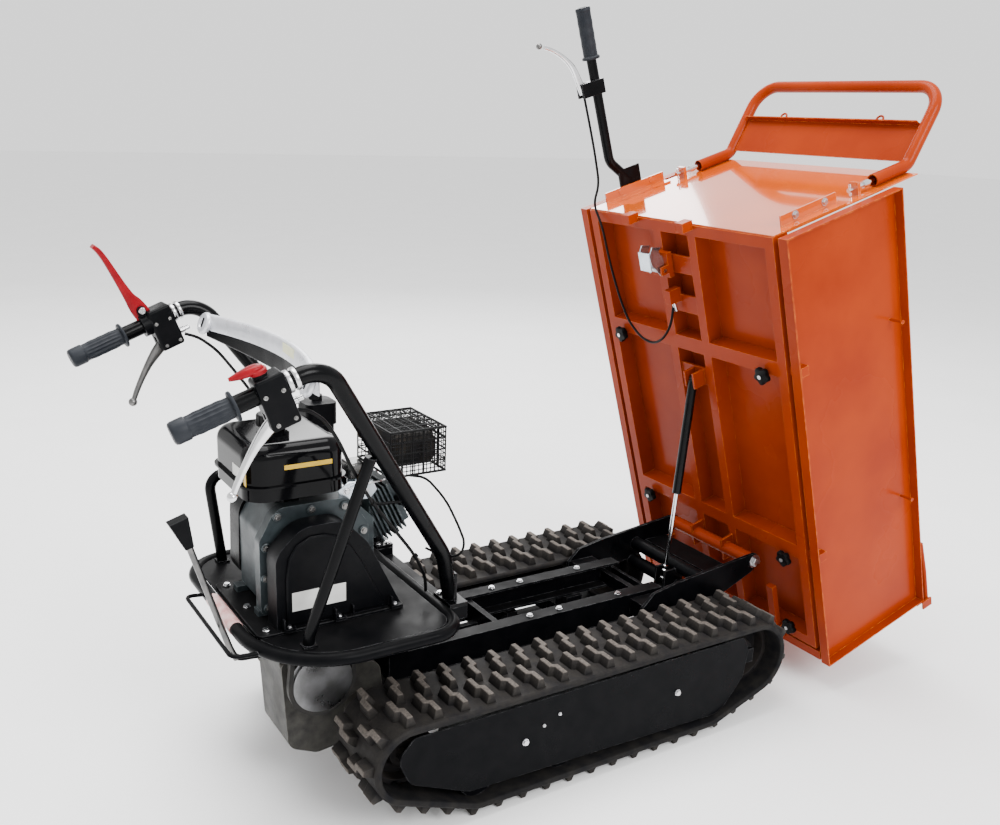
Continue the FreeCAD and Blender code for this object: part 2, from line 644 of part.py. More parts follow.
def fan_housing():
    """Pressed fan cowl on the engine's left face, with the recoil starter's dome."""
    cowl = plate("fan_cowl", "XZ_Plane",
                 [(-655, 415, 40), (-470, 415, 40), (-430, 500, 50), (-430, 600, 30),
                  (-520, 640, 60), (-650, 600, 60)], "68.5", "56")
    dome = cylinder("starter_dome", 82, 34, (-556, 124, 510), "Y")
    eyelet = box("starter_eyelet", (26, 18, 24), (-500, 140, 556))
    hole = cylinder("starter_rope_hole", 3, 60, (-487, 130, 568), "Y")
    node(cut("fan_housing", fuse("fan_housing_solid", cowl, dome, eyelet), hole), "fan_housing")
    grip = Part.makeBox(60, 14, 16, Vector(-517, 160, 560))
    grip = grip.makeFillet(5, grip.Edges)
    stem = Part.makeCylinder(2.5, 20, Vector(-487, 141, 568), Y_AXIS)
    node(feature("starter_grip", grip.fuse(stem)), "starter_grip")


def air_cleaner():
    body = plate("air_cleaner_body", "XY_Plane",
                 [(-484, 106, 14), (-424, 106, 14), (-424, 168, 22), (-484, 168, 22)], "652", "60")
    cover = plate("air_cleaner_cover", "XY_Plane",
                  [(-488, 101, 16), (-420, 101, 16), (-420, 174, 24), (-488, 174, 24)], "712", "46")
    stack = cylinder("air_cleaner_elbow", 18, 50, (-446, 66, 672), "Y")
    knob = cylinder("air_cleaner_nut", 11, 14, (-454, 136, 757))
    node(fuse("air_cleaner", body, cover, stack, knob), "air_cleaner")


GUARD_LOW, GUARD_HIGH = Vector(-405, -112, 656), Vector(-284, 40, 746)


def muffler():
    can = Part.makeBox(99, 128, 66, GUARD_LOW + Vector(11, 12, 12))
    can = can.makeFillet(18, can.Edges)
    inlet = bar((-366, -36, 640), (-366, -36, 672), 13)
    outlet = bar((-330, -92, 700), (-330, -108, 700), 9)
    node(feature("muffler", can.fuse([inlet, outlet])), "muffler")


def muffler_guard():
    """Wire cage round the muffler: level hoops and upright wires on four sides and the top."""
    low, high = GUARD_LOW, GUARD_HIGH
    radius = 1.6
    frame_radius = 2.4
    wires = []
    size = high - low
    for k in range(5):
        z = low.z + size.z * k / 4
        thick = frame_radius if k in (0, 4) else radius
        corners = [(low.x, low.y, z), (high.x, low.y, z), (high.x, high.y, z), (low.x, high.y, z)]
        for i in range(4):
            wires.append(bar(corners[i], corners[(i + 1) % 4], thick))
        wires += [Part.makeSphere(thick, Vector(*corner)) for corner in corners]
    for k in range(6):
        y = low.y + size.y * k / 5
        wires.append(bar((high.x, y, low.z), (high.x, y, high.z), radius))
        wires.append(bar((low.x, y, high.z), (high.x, y, high.z), radius))
    for k in range(6):
        x = low.x + size.x * k / 5
        wires.append(bar((x, low.y, low.z), (x, low.y, high.z), radius))
        wires.append(bar((x, high.y, low.z), (x, high.y, high.z), radius))
        wires.append(bar((x, low.y, high.z), (x, high.y, high.z), radius))
    node(feature("muffler_guard", wires[0].multiFuse(wires[1:])), "muffler_guard")


def belt_cover_outline(inset):
    return [(-656 + inset, 397 + inset, 6), (-396 - 1.6 * inset, 397 + inset, 6),
            (-470 - 1.3 * inset, 548 - inset, 60), (-520, 602 - inset, 50),
            (-606, 602 - inset, 60 - inset), (-656 + inset, 552 - inset, 50 - inset)]


def belt_cover():
    """Moulded cover over the engine pulley, open at the back and below, with foot tabs."""
    outer = plate("belt_cover_shell", "XZ_Plane", belt_cover_outline(0), "belt_cover_y",
                  "belt_cover_depth")
    inner = plate("belt_cover_hollow", "XZ_Plane", belt_cover_outline(3), "belt_cover_y + 3",
                  "belt_cover_depth")
    slot = box("belt_cover_opening", (180, 60, 30), (-650, "belt_cover_y + 3", 380))
    clip = box("belt_cover_clip", (400, 80, 30), (-720, "belt_cover_y - 4", 375.2))
    feet = [box("belt_cover_foot_%d" % i, (22, 18, 5), (x, "belt_cover_y - 17", 405.4))
            for i, x in enumerate((-646, -545, -428))]
    shell = cut("belt_cover_open", outer, inner, slot, clip)
    node(fuse("belt_cover", shell, *feet), "belt_cover")


def pulley(label, radius, x, z, shaft, shaft_low, shaft_length):
    """A V pulley on a stub of its shaft."""
    rim = 8
    points = [Vector(0, -rim, 0), Vector(radius, -rim, 0), Vector(radius, -rim + 2, 0),
              Vector(radius - 8, -3, 0), Vector(radius - 8, 3, 0), Vector(radius, rim - 2, 0),
              Vector(radius, rim, 0), Vector(0, rim, 0)]
    face = Part.Face(Part.makePolygon(points + points[:1]))
    turned = face.revolve(Vector(), Y_AXIS, 360)
    turned.translate(Vector(x, d.belt_plane_y, z))
    stub = Part.makeCylinder(shaft, shaft_length, Vector(x, shaft_low, z), Y_AXIS)
    node(feature(label, turned.fuse(stub)), label)


def drive_belt():
    """V-belt from the engine pulley, down through the deck, to the gearbox pulley."""
    top = (Vector(d.crank_x, 0, d.crank_z), d.engine_pulley_radius)
    low = (Vector(d.crank_x, 0, d.gearbox_pulley_z), d.gearbox_pulley_radius)

    def band(offset):
        circles = [(top[0], top[1] + offset), (low[0], low[1] + offset)]
        normals = [loop_normal(circles[0], circles[1]), loop_normal(circles[1], circles[0])]
        edges = []
        for i, (centre, radius) in enumerate(circles):
            arriving, leaving = normals[i - 1], normals[i]
            away = (centre - circles[i - 1][0]).normalize()
            edges.append(Part.Arc(centre + arriving * radius, centre + away * radius,
                                  centre + leaving * radius).toShape())
            after, after_radius = circles[i - 1]
            edges.append(Part.makeLine(centre + leaving * radius, after + leaving * after_radius))
        return Part.Face(Part.Wire(edges))

    ring = band(d.drive_belt_thick).cut(band(0.5))
    ring.translate(Vector(0, d.belt_plane_y - 6, 0))
    node(feature("drive_belt", ring.extrude(Vector(0, 12, 0))), "drive_belt")


# ---------- handles ----------
HANDLE_FOOT, HANDLE_KNEE = Vector(-298, 168, 401), Vector(-333, 200, 515)
HANDLE_TOP, HANDLE_END = Vector(-632, 330, 948), Vector(-883, 314, 854.5)
HANDLE_SKEW = Vector(-13, 0, -6.5)


def handle_points(side):
    """Foot, knee, top corner and end of a handle tube; the bars sit slightly askew."""
    points = [HANDLE_FOOT, HANDLE_KNEE, HANDLE_TOP + HANDLE_SKEW * (0.3 * side),
              HANDLE_END + HANDLE_SKEW * side]
    return [Vector(p.x, side * p.y, p.z) for p in points]


def grip_direction(side):
    foot, knee, top, end = handle_points(side)
    return (end - top).normalize()


def along_grip(x, side):
    """Point on a grip's axis at a given X."""
    top = handle_points(side)[2]
    direction = grip_direction(side)
    return top + direction * ((x - top.x) / direction.x)


SIDES = (("left", 1), ("right", -1))


def handle_frame():
    """Two bent handle tubes on bolted feet, each with a stay from the deck."""
    stays = {1: [(-642, 221, 402), (-664, 221, 592), (-424, 236, 628)],
             -1: [(-623, -221, 402), (-622, -222, 420), (-524, -276, 764)]}
    parts = []
    for name, side in SIDES:
        foot, knee, top, end = handle_points(side)
        main = tube([tuple(p) for p in (foot, knee, top, end)], [150, 58],
                    d.handle_radius, d.handle_wall)
        pad = Part.makeBox(40, 70, 8, Vector(-316.6, side * 168 - 35, d.deck_z + 0.2))
        web = Part.makeBox(5, 44, 60, Vector(-300, side * 168 - 22, d.deck_z + 8))
        hollow = bar(tuple(foot), tuple(knee), d.handle_radius - 0.5)
        stay = tube(stays[side], [30], d.stay_radius)
        x, y, z = stays[side][0]
        shoe = Part.makeBox(26, 24, 4, Vector(x - 13, y - 12, d.deck_z + d.deck_thick + 0.2))
        stay = stay.cut(pipe(bent_wire([foot, knee, top, end], [150, 58]), d.handle_radius - 0.5))
        parts.append(feature("handle_tube_" + name, main.fuse([pad, web.cut(hollow), stay, shoe])))
    node(group("handle_frame", *parts), "handle_frame")


def console_panel():
    """Curved cross panel between the two handle tubes, bowed forwards."""
    half, bow, height, thick = 287.0, 56.0, 40.0, 16.0
    end_x, low_z = -622.0, 886.0
    front = Part.Arc(Vector(end_x, -half, 0), Vector(end_x + bow, 0, 0), Vector(end_x, half, 0))
    back = Part.Arc(Vector(end_x - thick, half, 0), Vector(end_x + bow - thick, 0, 0),
                    Vector(end_x - thick, -half, 0))
    sides = [Part.makeLine(Vector(end_x, half, 0), Vector(end_x - thick, half, 0)),
             Part.makeLine(Vector(end_x - thick, -half, 0), Vector(end_x, -half, 0))]
    wire = Part.Wire([front.toShape(), sides[0], back.toShape(), sides[1]])
    band = Part.Face(wire).extrude(Vector(0, 0, height))
    band.translate(Vector(0, 0, low_z))
    node(feature("console_panel", band), "console_panel")


def grips():
    parts = []
    for name, side in SIDES:
        end = handle_points(side)[3]
        direction = grip_direction(side)
        inner = along_grip(-783 - 9 * side, side)
        length = (end - inner).Length
        solid = Part.makeCylinder(d.grip_radius, length + 3, inner, direction)
        hole = Part.makeCylinder(d.handle_radius + 0.2, length + 0.3, inner, direction)
        flange = Part.makeCylinder(d.grip_radius + 6, 5, inner, direction)
        parts.append(feature("grip_" + name, solid.fuse(flange).cut(hole)))
    node(group("grips", *parts), "grips")


HOUSING_X = -718
LEVER_PIVOT, DRIVE_PIVOT = Vector(-8, 0, -48), Vector(-29, 0, 32.5)


def tilt_to_grip(side):
    """Turns -X onto the grip's axis while keeping the piece upright."""
    back = -grip_direction(side)
    across = Vector(-back.y, back.x, 0).normalize()
    return Rotation(back, across, back.cross(across), "XYZ")


def housing_placement(side):
    return Placement(along_grip(HOUSING_X, side), tilt_to_grip(side))


def drive_lever_clamp():
    """Collar round the left tube with two ears and the drive lever's cross pin."""
    parts = [Part.makeCylinder(23, 18, Vector(-40, 0, 0), X_AXIS)]
    for y in (-9.3, 5.3):
        parts.append(Part.makeCylinder(9, 4, DRIVE_PIVOT + Y_AXIS * y, Y_AXIS))
        parts.append(Part.makeBox(18, 4, 18, DRIVE_PIVOT + Vector(-9, y, -18)))
    parts.append(Part.makeCylinder(3, 18, DRIVE_PIVOT - Y_AXIS * 9, Y_AXIS))
    return parts


def control_housings():
    """Clamped switch and lever housings, one on each handle tube inboard of the grip."""
    parts = []
    for name, side in SIDES:
        shell = block((50, 46, 88), (0, 0, -18))
        shell = shell.makeFillet(6, shell.Edges)
        slot = block((60, 14, 34), (-8, 0, -48))
        bore = Part.makeCylinder(d.handle_radius + 0.2, 120, Vector(-60, 0, 0), X_AXIS)
        pin = Part.makeCylinder(3, 20, LEVER_PIVOT - Y_AXIS * 10, Y_AXIS)
        extras = [Part.makeCylinder(13, 10, Vector(-8, 0, 22))] if side < 0 else drive_lever_clamp()
        shell = shell.fuse(extras).cut([bore, slot]).fuse(pin)
        shell.Placement = housing_placement(side)
        parts.append(feature("control_housing_" + name, shell))
    node(group("control_housings", *parts), "control_housings")


def steering_levers():
    """Hand levers below the grips, with a ball end, each on a cross pin in its housing."""
    for name, side in SIDES:
        blade = tube([tuple(LEVER_PIVOT), (-34, 0, -62), (-80, 0, -96), (-118, 0, -133)], [40, 200], 5.5)
        ball = Part.makeSphere(9, Vector(-121, 0, -136))
        eye = Part.makeCylinder(8, 10, LEVER_PIVOT - Y_AXIS * 5, Y_AXIS)
        bore = Part.makeCylinder(3.06, 20, LEVER_PIVOT - Y_AXIS * 10, Y_AXIS)
        lever = blade.fuse([ball, eye]).cut(bore)
        lever.Placement = housing_placement(side)
        node(feature("steering_lever_" + name, lever), "steering_lever_" + name)


def drive_lever():
    """Tall drive lever on the left handle, on an eye between the ears of its clamp."""
    eye = Part.makeCylinder(8, 10, DRIVE_PIVOT - Y_AXIS * 5, Y_AXIS)
    neck = bar(tuple(DRIVE_PIVOT), (-32.5, 0, 50), 4.8)
    blade = tube([(-31.5, 0, 45), (-40, 0, 90), (-52, 0, 184)], [200], 7)
    bore = Part.makeCylinder(3.06, 20, DRIVE_PIVOT - Y_AXIS * 10, Y_AXIS)
    lever = eye.fuse([neck, blade]).cut(bore)
    lever.Placement = housing_placement(1)
    node(feature("drive_lever", lever), "drive_lever")


def throttle_lever():
    """Thumb throttle on top of the right housing."""
    disc = Part.makeCylinder(15, 8, Vector(-8, 0, 0))
    arm = block((36, 14, 8), (-34, 0, 4))
    arm = arm.makeFillet(3, arm.Edges)
    lever = disc.fuse(arm)
    lever.Placement = housing_placement(-1).multiply(Placement(Vector(0, 0, 32.4), Rotation()))
    node(feature("throttle_lever", lever), "throttle_lever")


GEAR_PIVOT = (-665, -75, 322)


def gear_lever():
    """Gear rod from the gearbox, out behind the deck's rim and up to a wedge knob."""
    rod = tube([GEAR_PIVOT, (-716, -75, 326), (-739, -75, 400), (-790, -75, 572)], [26, 120], 6)
    boss = Part.makeCylinder(11, 26, Vector(-660, -75, 322), X_AXIS)
    bore = Part.makeCylinder(5.06, 60, Vector(-663, -75, 322), X_AXIS)
    top = Vector(-791, -75, 571)
    lean = Rotation(Y_AXIS, -18)
    knob = Part.makeLoft([wedge_wire(16, 15, 0), wedge_wire(36, 26, 60)], True)
    knob.Placement = Placement(top, lean)
    node(feature("gear_lever", rod.fuse(boss).cut(bore).fuse(knob)), "gear_lever")


def wedge_wire(length, width, z):
    a, b = length / 2, width / 2
    corners = [Vector(-a, -b, z), Vector(a, -b, z), Vector(a, b, z), Vector(-a, b, z)]
    return Part.makePolygon(corners + corners[:1])


def control_cables():
    """Bowden cables from the hand levers, round the tubes and down inside the frame."""
    right = cable([(-671, -304, 874), (-645, -296, 868), (-612, -284, 844), (-582, -270, 802),
                   (-552, -258, 742), (-508, -246, 668), (-452, -232, 596), (-400, -208, 530),
                   (-362, -180, 468), (-344, -150, 420)], 3.2)
    left = cable([(-674, 304, 884), (-648, 296, 876), (-616, 280, 850), (-588, 264, 810),
                  (-550, 246, 752), (-506, 226, 680), (-452, 206, 608), (-400, 190, 540),
                  (-362, 168, 478), (-342, 146, 424)], 3.2)
    throttle = cable([(-345, -70, 640), (-318, -95, 640), (-286, -122, 596), (-284, -172, 556),
                      (-283, -196, 530), (-290, -196, 506), (-302, -176, 494), (-322, -158, 498), (-345, -148, 512)], 2.5)
    node(group("control_cables", feature("cable_right", right), feature("cable_left", left),
               feature("cable_throttle", throttle)), "control_cables")


def fasteners():
    """Zinc hexagon bolts of the deck, engine, belt cover, chassis and side covers."""
    up = (0, 0, 1)
    base_z = d.deck_z + d.deck_thick + 6.3
    bolts = [hex_bolt((x, y, base_z), up) for x, y in
             ((-676, 85), (-673, -28), (-674, -140), (-420, 85))]
    bolts += [hex_bolt((x, d.belt_cover_y - 8, 410.6), up, 4) for x in (-635, -534, -417)]
    for side in (1, -1):
        bolts += [hex_bolt((x, side * y, d.deck_z + 8.4), up, 5) for x, y in ((-308, 143), (-286, 143))]
        bolts += [hex_bolt((x, side * (d.cover_y + d.cover_thick + 0.1), z), (0, side, 0), size)
                  for x, z, size in ((-210, 133, 6), (192, 133, 6), (-166, 158, 3), (-128, 174, 3))]
        bolts += [hex_bolt((x, side * (d.rail_y - 17), d.rail_top + 0.2), up, 6)
                  for x in (-40, 40, 210)]
    node(group("fasteners", *[feature("bolt_%d" % i, bolt) for i, bolt in enumerate(bolts)]),
         "fasteners")


# ---------- tray: drawn level about its tipping axis, then tipped ----------
TIP = Placement(Vector(d.pivot_x, 0, d.pivot_z), Rotation(Y_AXIS, d.tray_tip_angle))


def tipped(point):
    return TIP.multVec(Vector(*point))


def tray_frame():
    """Welded underframe: perimeter channels, two long beams, cross tubes and the pivot tube."""
    length = "tray_front_x - tray_rear_x"
    parts, holes = [], []
    for side in (1, -1):
        tag = "l" if side > 0 else "r"
        edge_y = "frame_half_width - frame_wall" if side > 0 else "-frame_half_width"
        parts.append(box("frame_side_" + tag, (length, "frame_wall", "frame_depth"),
                         ("tray_rear_x", edge_y, "frame_bottom")))
        beam_y = 46 if side > 0 else -72
        parts.append(box("frame_beam_" + tag, (length, 26, "frame_depth"),
                         ("tray_rear_x", beam_y, "frame_bottom")))
        parts.append(box("pivot_gusset_" + tag, (60, 6, 60), (-30, side * 56 - 3, -16)))
    for i, x in enumerate(("tray_rear_x", "tray_front_x - frame_wall")):
        parts.append(box("frame_end_%d" % i, ("frame_wall", "2 * frame_half_width", "frame_depth"),
                         (x, "-frame_half_width", "frame_bottom")))
    for name, x in (("rear", "slide_rear_x"), ("front", "slide_front_x")):
        parts.append(box("slide_housing_" + name, ("slide_size + 14", "2 * frame_half_width", "frame_depth"),
                         (x + " - slide_size / 2 - 7", "-frame_half_width", "frame_bottom")))
        for side in (1, -1):
            low = "frame_half_width - 200" if side > 0 else "-frame_half_width - 60"
            holes.append(box("slide_hole_%s_%d" % (name, side),
                             ("slide_size + 0.8", 260, "slide_size + 0.8"),
                             (x + " - slide_size / 2 - 0.4", low, "frame_bottom + 9.6")))
    parts.append(cylinder("pivot_tube", 17, "2 * pivot_plate_y - 1.2", (0, "-pivot_plate_y + 0.6", 0), "Y"))
    parts.append(cylinder("pivot_pins", "pivot_pin_radius", "2 * pivot_plate_y + 34",
                          (0, "-pivot_plate_y - 17", 0), "Y"))
    for i, y in enumerate((-33, -3)):
        parts.append(box("strut_bracket_%d" % i, (40, 6, 40), ("strut_top_x - 20", y, "strut_top_z - 15")))
    for name, x in (("strut", "strut_top_x"), ("cable", -672), ("latch", -770)):
        parts.append(box("strap_" + name, (44, 94, 6), (x if name != "strut" else x + " - 22", -47, 28)))
    parts.append(box("cable_anchor", (34, 20, 34), (-690, 12, -4)))
    parts.append(box("latch_mount", (60, 58, 14), (-778, 19, 10)))
    for i, y in enumerate((19, 72)):
        parts.append(box("latch_ear_%d" % i, (20, 5, 30), (-750, y, -12)))
    holes.append(cylinder("latch_ear_hole", 4.56, 90, (-740, 0, -2), "Y"))
    for i, y in enumerate((-202, 180)):
        parts.append(box("front_guide_%d" % i, (20, 30, 25), (182, y - 4, 1)))
        holes.append(box("front_guide_hole_%d" % i, (60, 22.8, 14.8), (160, y - 0.4, 4.6)))
    for i, y in enumerate((122, -68)):
        parts.append(box("rear_tab_%d" % i, (22, 26, 30), (-862, y, -4)))
    frame = cut("tray_frame", fuse("tray_frame_solid", *parts), *holes)
    node(frame, "tray_frame", TIP)


def tray_floor():
    floor = plate("tray_floor", "XY_Plane",
                  [(-846, -308, 4), (200, -308, 4), (200, 308, 4), (-846, 308, 4)],
                  "frame_bottom + frame_depth + 0.1", "floor_thick")
    node(floor, "tray_floor", TIP)


def rear_wall():
    """Rear wall sheet with a folded top, two bolted angle brackets and their bolts."""
    z_low = "frame_bottom + frame_depth + 2.4"
    x = "tray_rear_x + 0.2"
    sheet_part = box("rear_wall_sheet", ("sheet_thick", "2 * frame_half_width", "rear_wall_top - 67.6"),
                     (x, "-frame_half_width", z_low))
    skirt = box("rear_wall_skirt", ("sheet_thick", "2 * frame_half_width", 60),
                ("tray_rear_x - sheet_thick - 0.2", "-frame_half_width", "frame_bottom + 4"))
    lap = box("rear_wall_lap", (6.6, "2 * frame_half_width", 12),
              ("tray_rear_x - sheet_thick - 0.2", "-frame_half_width", 74))
    parts = [sheet_part, skirt, lap]
    for side, tag, y, z, length in ((1, "l", 308, 76, 190), (-1, "r", -286, 76, 165)):
        parts.append(box("angle_back_" + tag, (4, 30, length), ("tray_rear_x - 4", y - 26, z)))
        parts.append(box("angle_leg_" + tag, (26, 4, length), ("tray_rear_x - 26", y, z)))
        for k in (0.25, 0.78):
            parts.append(cylinder("angle_bolt_%s_%d" % (tag, int(k * 100)), 6, 8,
                                  ("tray_rear_x - 16", y - 2, z + k * length), "Y"))
        guide = block((28, 24, 8), (d.tray_rear_x - 13.8, side * d.hoop_half_width, 306))
        bore = Part.makeCylinder(5.06, 40, Vector(d.tray_rear_x - 14.1, side * d.hoop_half_width, 280))
        parts.append(feature("bolt_guide_" + tag, guide.cut(bore)))
    node(fuse("rear_wall", *parts), "rear_wall", TIP)


def hoop_bar():
    """Guard hoop: up the rear wall's edges, then back at 45 degrees over the engine."""
    x0 = d.tray_rear_x - d.hoop_radius - 0.1
    y, z0, rise = d.hoop_half_width, d.hoop_bend_z, d.hoop_rise
    points = [(x0, y, 362), (x0, y, z0), (x0 - rise, y, z0 + rise),
              (x0 - rise, -y, z0 + rise), (x0, -y, z0), (x0, -y, 362)]
    hoop = tube(points, [30, 62, 62, 30], d.hoop_radius, 2.2)
    node(feature("hoop_bar", hoop), "hoop_bar", TIP)


def load_guard():
    """Sloping guard panel between the hoop's legs, with a folded upper rim and two eyelets."""
    length, width = 92.0, 2 * (d.hoop_half_width - d.hoop_radius) - 1.0
    panel = block((3, width, length), (0, 0, length / 2))
    rim = block((18, width, 3), (-9, 0, length - 1.5))
    shape = panel.fuse(rim)
    for y in (-150, 150):
        ring = Part.makeTorus(9, 2.5, Vector(-2, y, length + 8), X_AXIS)
        shape = shape.fuse(ring)
    x0 = d.tray_rear_x - d.hoop_radius - 0.1
    shape.Placement = Placement(Vector(x0 - 6, 0, d.hoop_bend_z + 6), Rotation(Y_AXIS, -45))
    node(feature("load_guard", shape), "load_guard", TIP)


def side_panel(label, side):
    """Side wall with its rims folded outwards, on two square slide tubes that run in the frame."""
    def across(low, high):
        """A span of Y from the tray's middle outwards, on either side: start and width."""
        return (low if side > 0 else -high), high - low

    inner_y = d.side_outer_y - d.side_rim
    length = d.side_front_x - d.tray_rear_x
    height = d.wall_top - d.frame_bottom
    y_sheet, sheet_width = across(inner_y, inner_y + d.sheet_thick)
    y_rim, rim_width = across(inner_y, d.side_outer_y)
    parts = [box(label + "_sheet", (length, sheet_width, height), ("tray_rear_x", y_sheet, "frame_bottom"))]
    for name, x in (("rear", "tray_rear_x"), ("front", "side_front_x - sheet_thick")):
        parts.append(box("%s_rim_%s" % (label, name), ("sheet_thick", rim_width, height),
                         (x, y_rim, "frame_bottom")))
    for name, z in (("low", "frame_bottom"), ("top", "wall_top - sheet_thick")):
        parts.append(box("%s_rim_%s" % (label, name), (length, rim_width, "sheet_thick"),
                         ("tray_rear_x", y_rim, z)))
    y_slide, reach = across(140, d.side_outer_y - 6)
    for name, x in (("rear", "slide_rear_x"), ("front", "slide_front_x")):
        parts.append(box("%s_slide_%s" % (label, name), ("slide_size", reach, "slide_size"),
                         (x + " - slide_size / 2", y_slide, "frame_bottom + 10")))
    y_pin, pin_length = across(inner_y + 1, d.side_outer_y + 12)
    y_end, end_width = across(d.side_outer_y + 9, d.side_outer_y + 13)
    for i, x in enumerate((-556, -91)):
        z = "wall_top - 39"
        parts.append(cylinder("%s_hook_%d" % (label, i), 3, pin_length, (x, y_pin, z), "Y"))
        parts.append(cylinder("%s_hook_end_%d" % (label, i), 5, end_width, (x, y_end, z), "Y"))
    for end, low, high in (("in", 331, 335.5), ("out", 350.5, 355)):
        y_ear, ear_width = across(low, high)
        parts.append(box("%s_latch_ear_%s" % (label, end), (22, ear_width, 32), (239, y_ear, 366)))
    y_axle, axle_length = across(331, 355)
    parts.append(cylinder(label + "_latch_axle", 4, axle_length, (250, y_axle, 391), "Y"))
    node(fuse(label, *parts), label, TIP)


def front_panel():
    """Front wall between the side panels, with a folded top and its own two slide tubes."""
    x = 212
    parts = [box("front_sheet", ("sheet_thick", 640, 346), (x, -320, 25)),
             box("front_rim_top", ("side_rim", 640, "sheet_thick"), (x, -320, 368)),
             box("front_rim_low", ("side_rim", 640, "sheet_thick"), (x, -320, 25)),
             box("front_rim_left", ("side_rim", "sheet_thick", 346), (x, 317, 25)),
             box("front_rim_right", ("side_rim", "sheet_thick", 346), (x, -320, 25))]
    for i, y in enumerate((-202, 180)):
        parts.append(box("front_slide_%d" % i, (150, 22, 14), (x - 148, y, 5)))
        parts.append(box("front_slide_foot_%d" % i, (18, 22, 24), (x - 3, y, 5)))
    node(fuse("front_panel", *parts), "front_panel", TIP)


KNOBS = {"knob_rear_left": (-530, 250), "knob_rear_right": (-530, -250),
         "knob_front_left": (-44, 250), "knob_front_right": (-44, -250),
         "knob_end_left": (165, 240), "knob_end_right": (165, -240)}


def star_knobs():
    """Five-lobed clamp knobs under the tray frame, each on a short screw."""
    top = d.frame_bottom - 1.0
    for label, (x, y) in KNOBS.items():
        lobes = [Part.makeCylinder(7, 14, Vector(15 * math.cos(math.radians(72 * i)),
                                                 15 * math.sin(math.radians(72 * i)), 0))
                 for i in range(5)]
        body = Part.makeCylinder(15, 14).fuse(lobes)
        neck = Part.makeCylinder(8, 6, Vector(0, 0, 14))
        shape = body.fuse(neck)
        shape.Placement = Placement(Vector(x, y, top - 20), Rotation())
        node(feature(label, shape), label, TIP)


def latch_hook():
    """Zinc tray latch: a folded hook that swings on a cross pin under the rear of the tray."""
    cheek = [(-790, 6, 3), (-734, 6, 5), (-721, -6, 4), (-756, -34, 8), (-784, -30, 6), (-790, -14, 3)]
    cheeks = [plate("latch_cheek_%s" % tag, "XZ_Plane", cheek, start, "3")
              for tag, start in (("l", "65"), ("r", "28"))]
    bridge = box("latch_bridge", (46, 40, 3), (-778, 28, -20))
    pin = cylinder("latch_pin", 4.5, 64, (-740, 16, -2), "Y")
    node(fuse("latch_hook", *cheeks, bridge, pin), "latch_hook", TIP)


def spring_bolts():
    """Chrome spring bolts at the wall's upper corners, with T handles."""
    parts = []
    x = d.tray_rear_x - 14.1
    for side in (1, -1):
        y = side * d.hoop_half_width
        pin = Part.makeCylinder(5, 92, Vector(x, y, 285))
        handle = Part.makeCylinder(3, 26, Vector(x - 13, y, 291), X_AXIS)
        sleeve = Part.makeCylinder(8, 16, Vector(x, y, 330))
        parts.append(feature("spring_bolt_%d" % side, pin.fuse([handle, sleeve])))
    node(group("spring_bolts", *parts), "spring_bolts", TIP)


def tip_handle():
    """Tipping handle: a cranked tube on a bolted plate at the wall's left edge, with its grip."""
    points = [(-878, 325, 172), (-945, 319, 112), (-1196, 318, 109)]
    steel = tube(points, [40], 12, 2)
    plate_part = Part.makeBox(70, 6, 66, Vector(-918, 312.3, 131))
    clamp = block((34, 26, 66), (-1131, 318, 94)).cut(bar((-1180, 318, 109), (-1090, 318, 110.5), 11))
    slot = block((40, 13, 40), (-1131, 318, 62))
    pin = Part.makeCylinder(3, 20, Vector(-1131, 308, 66), Y_AXIS)
    steel = steel.fuse([plate_part, clamp.cut(slot), pin])
    direction = Vector(-1, 0, 0)
    start = Vector(-1196, 318, 109)
    grip = Part.makeCylinder(17, 118, start + direction * 0.2, direction)
    collar = Part.makeCylinder(21, 6, start + direction * 0.2, direction)
    node(group("tip_handle", feature("tip_handle_tube", steel),
               feature("tip_handle_grip", grip.fuse(collar))), "tip_handle", TIP)


def tip_bracket_and_lever():
    pivot = Vector(-1131, 318, 66)
    bends = [Vector(), Vector(-58, 0, -16), Vector(-108, 0, -60), Vector(-127, 0, -95)]
    lever = tube([tuple(pivot + bend) for bend in bends], [50, 60], 5)
    eye = Part.makeCylinder(8, 12, pivot + Vector(0, -6, 0), Y_AXIS)
    bore = Part.makeCylinder(3.06, 30, pivot + Vector(0, -15, 0), Y_AXIS)
    ball = Part.makeSphere(7, pivot + Vector(-128, 0, -97))
    node(feature("tip_lever", lever.fuse([eye, ball]).cut(bore)), "tip_lever", TIP)


def tray_cable():
    """Latch cable: from the tip lever's bracket, past the wall's edge and round to the latch."""
    route = [(-1113.5, 318, 70), (-1050, 313, 68), (-980, 308, 65), (-905, 303, 58), (-868, 290, 22),
             (-815, 246, 6), (-755, 232, -2), (-695, 222, -4), (-635, 210, -4), (-580, 190, -4),
             (-545, 150, -4), (-538, 105, -4), (-560, 62, -4), (-600, 32, 2), (-655, 22, 12)]
    node(feature("tray_cable", cable(route, 3)), "tray_cable", TIP)


def corner_latches():
    """Lever catches at the front corners that tie the side panels to the front panel."""
    for name, side in SIDES:
        y = side * 343
        arm = tube([(250, y, 391), (160, y, 389), (70, y, 381)], [300], 6)
        hub = Part.makeCylinder(10, 14, Vector(250, y - 7, 391), Y_AXIS)
        bore = Part.makeCylinder(4.06, 40, Vector(250, y - 20, 391), Y_AXIS)
        node(feature("corner_latch_" + name, arm.fuse(hub).cut(bore)), "corner_latch_" + name, TIP)


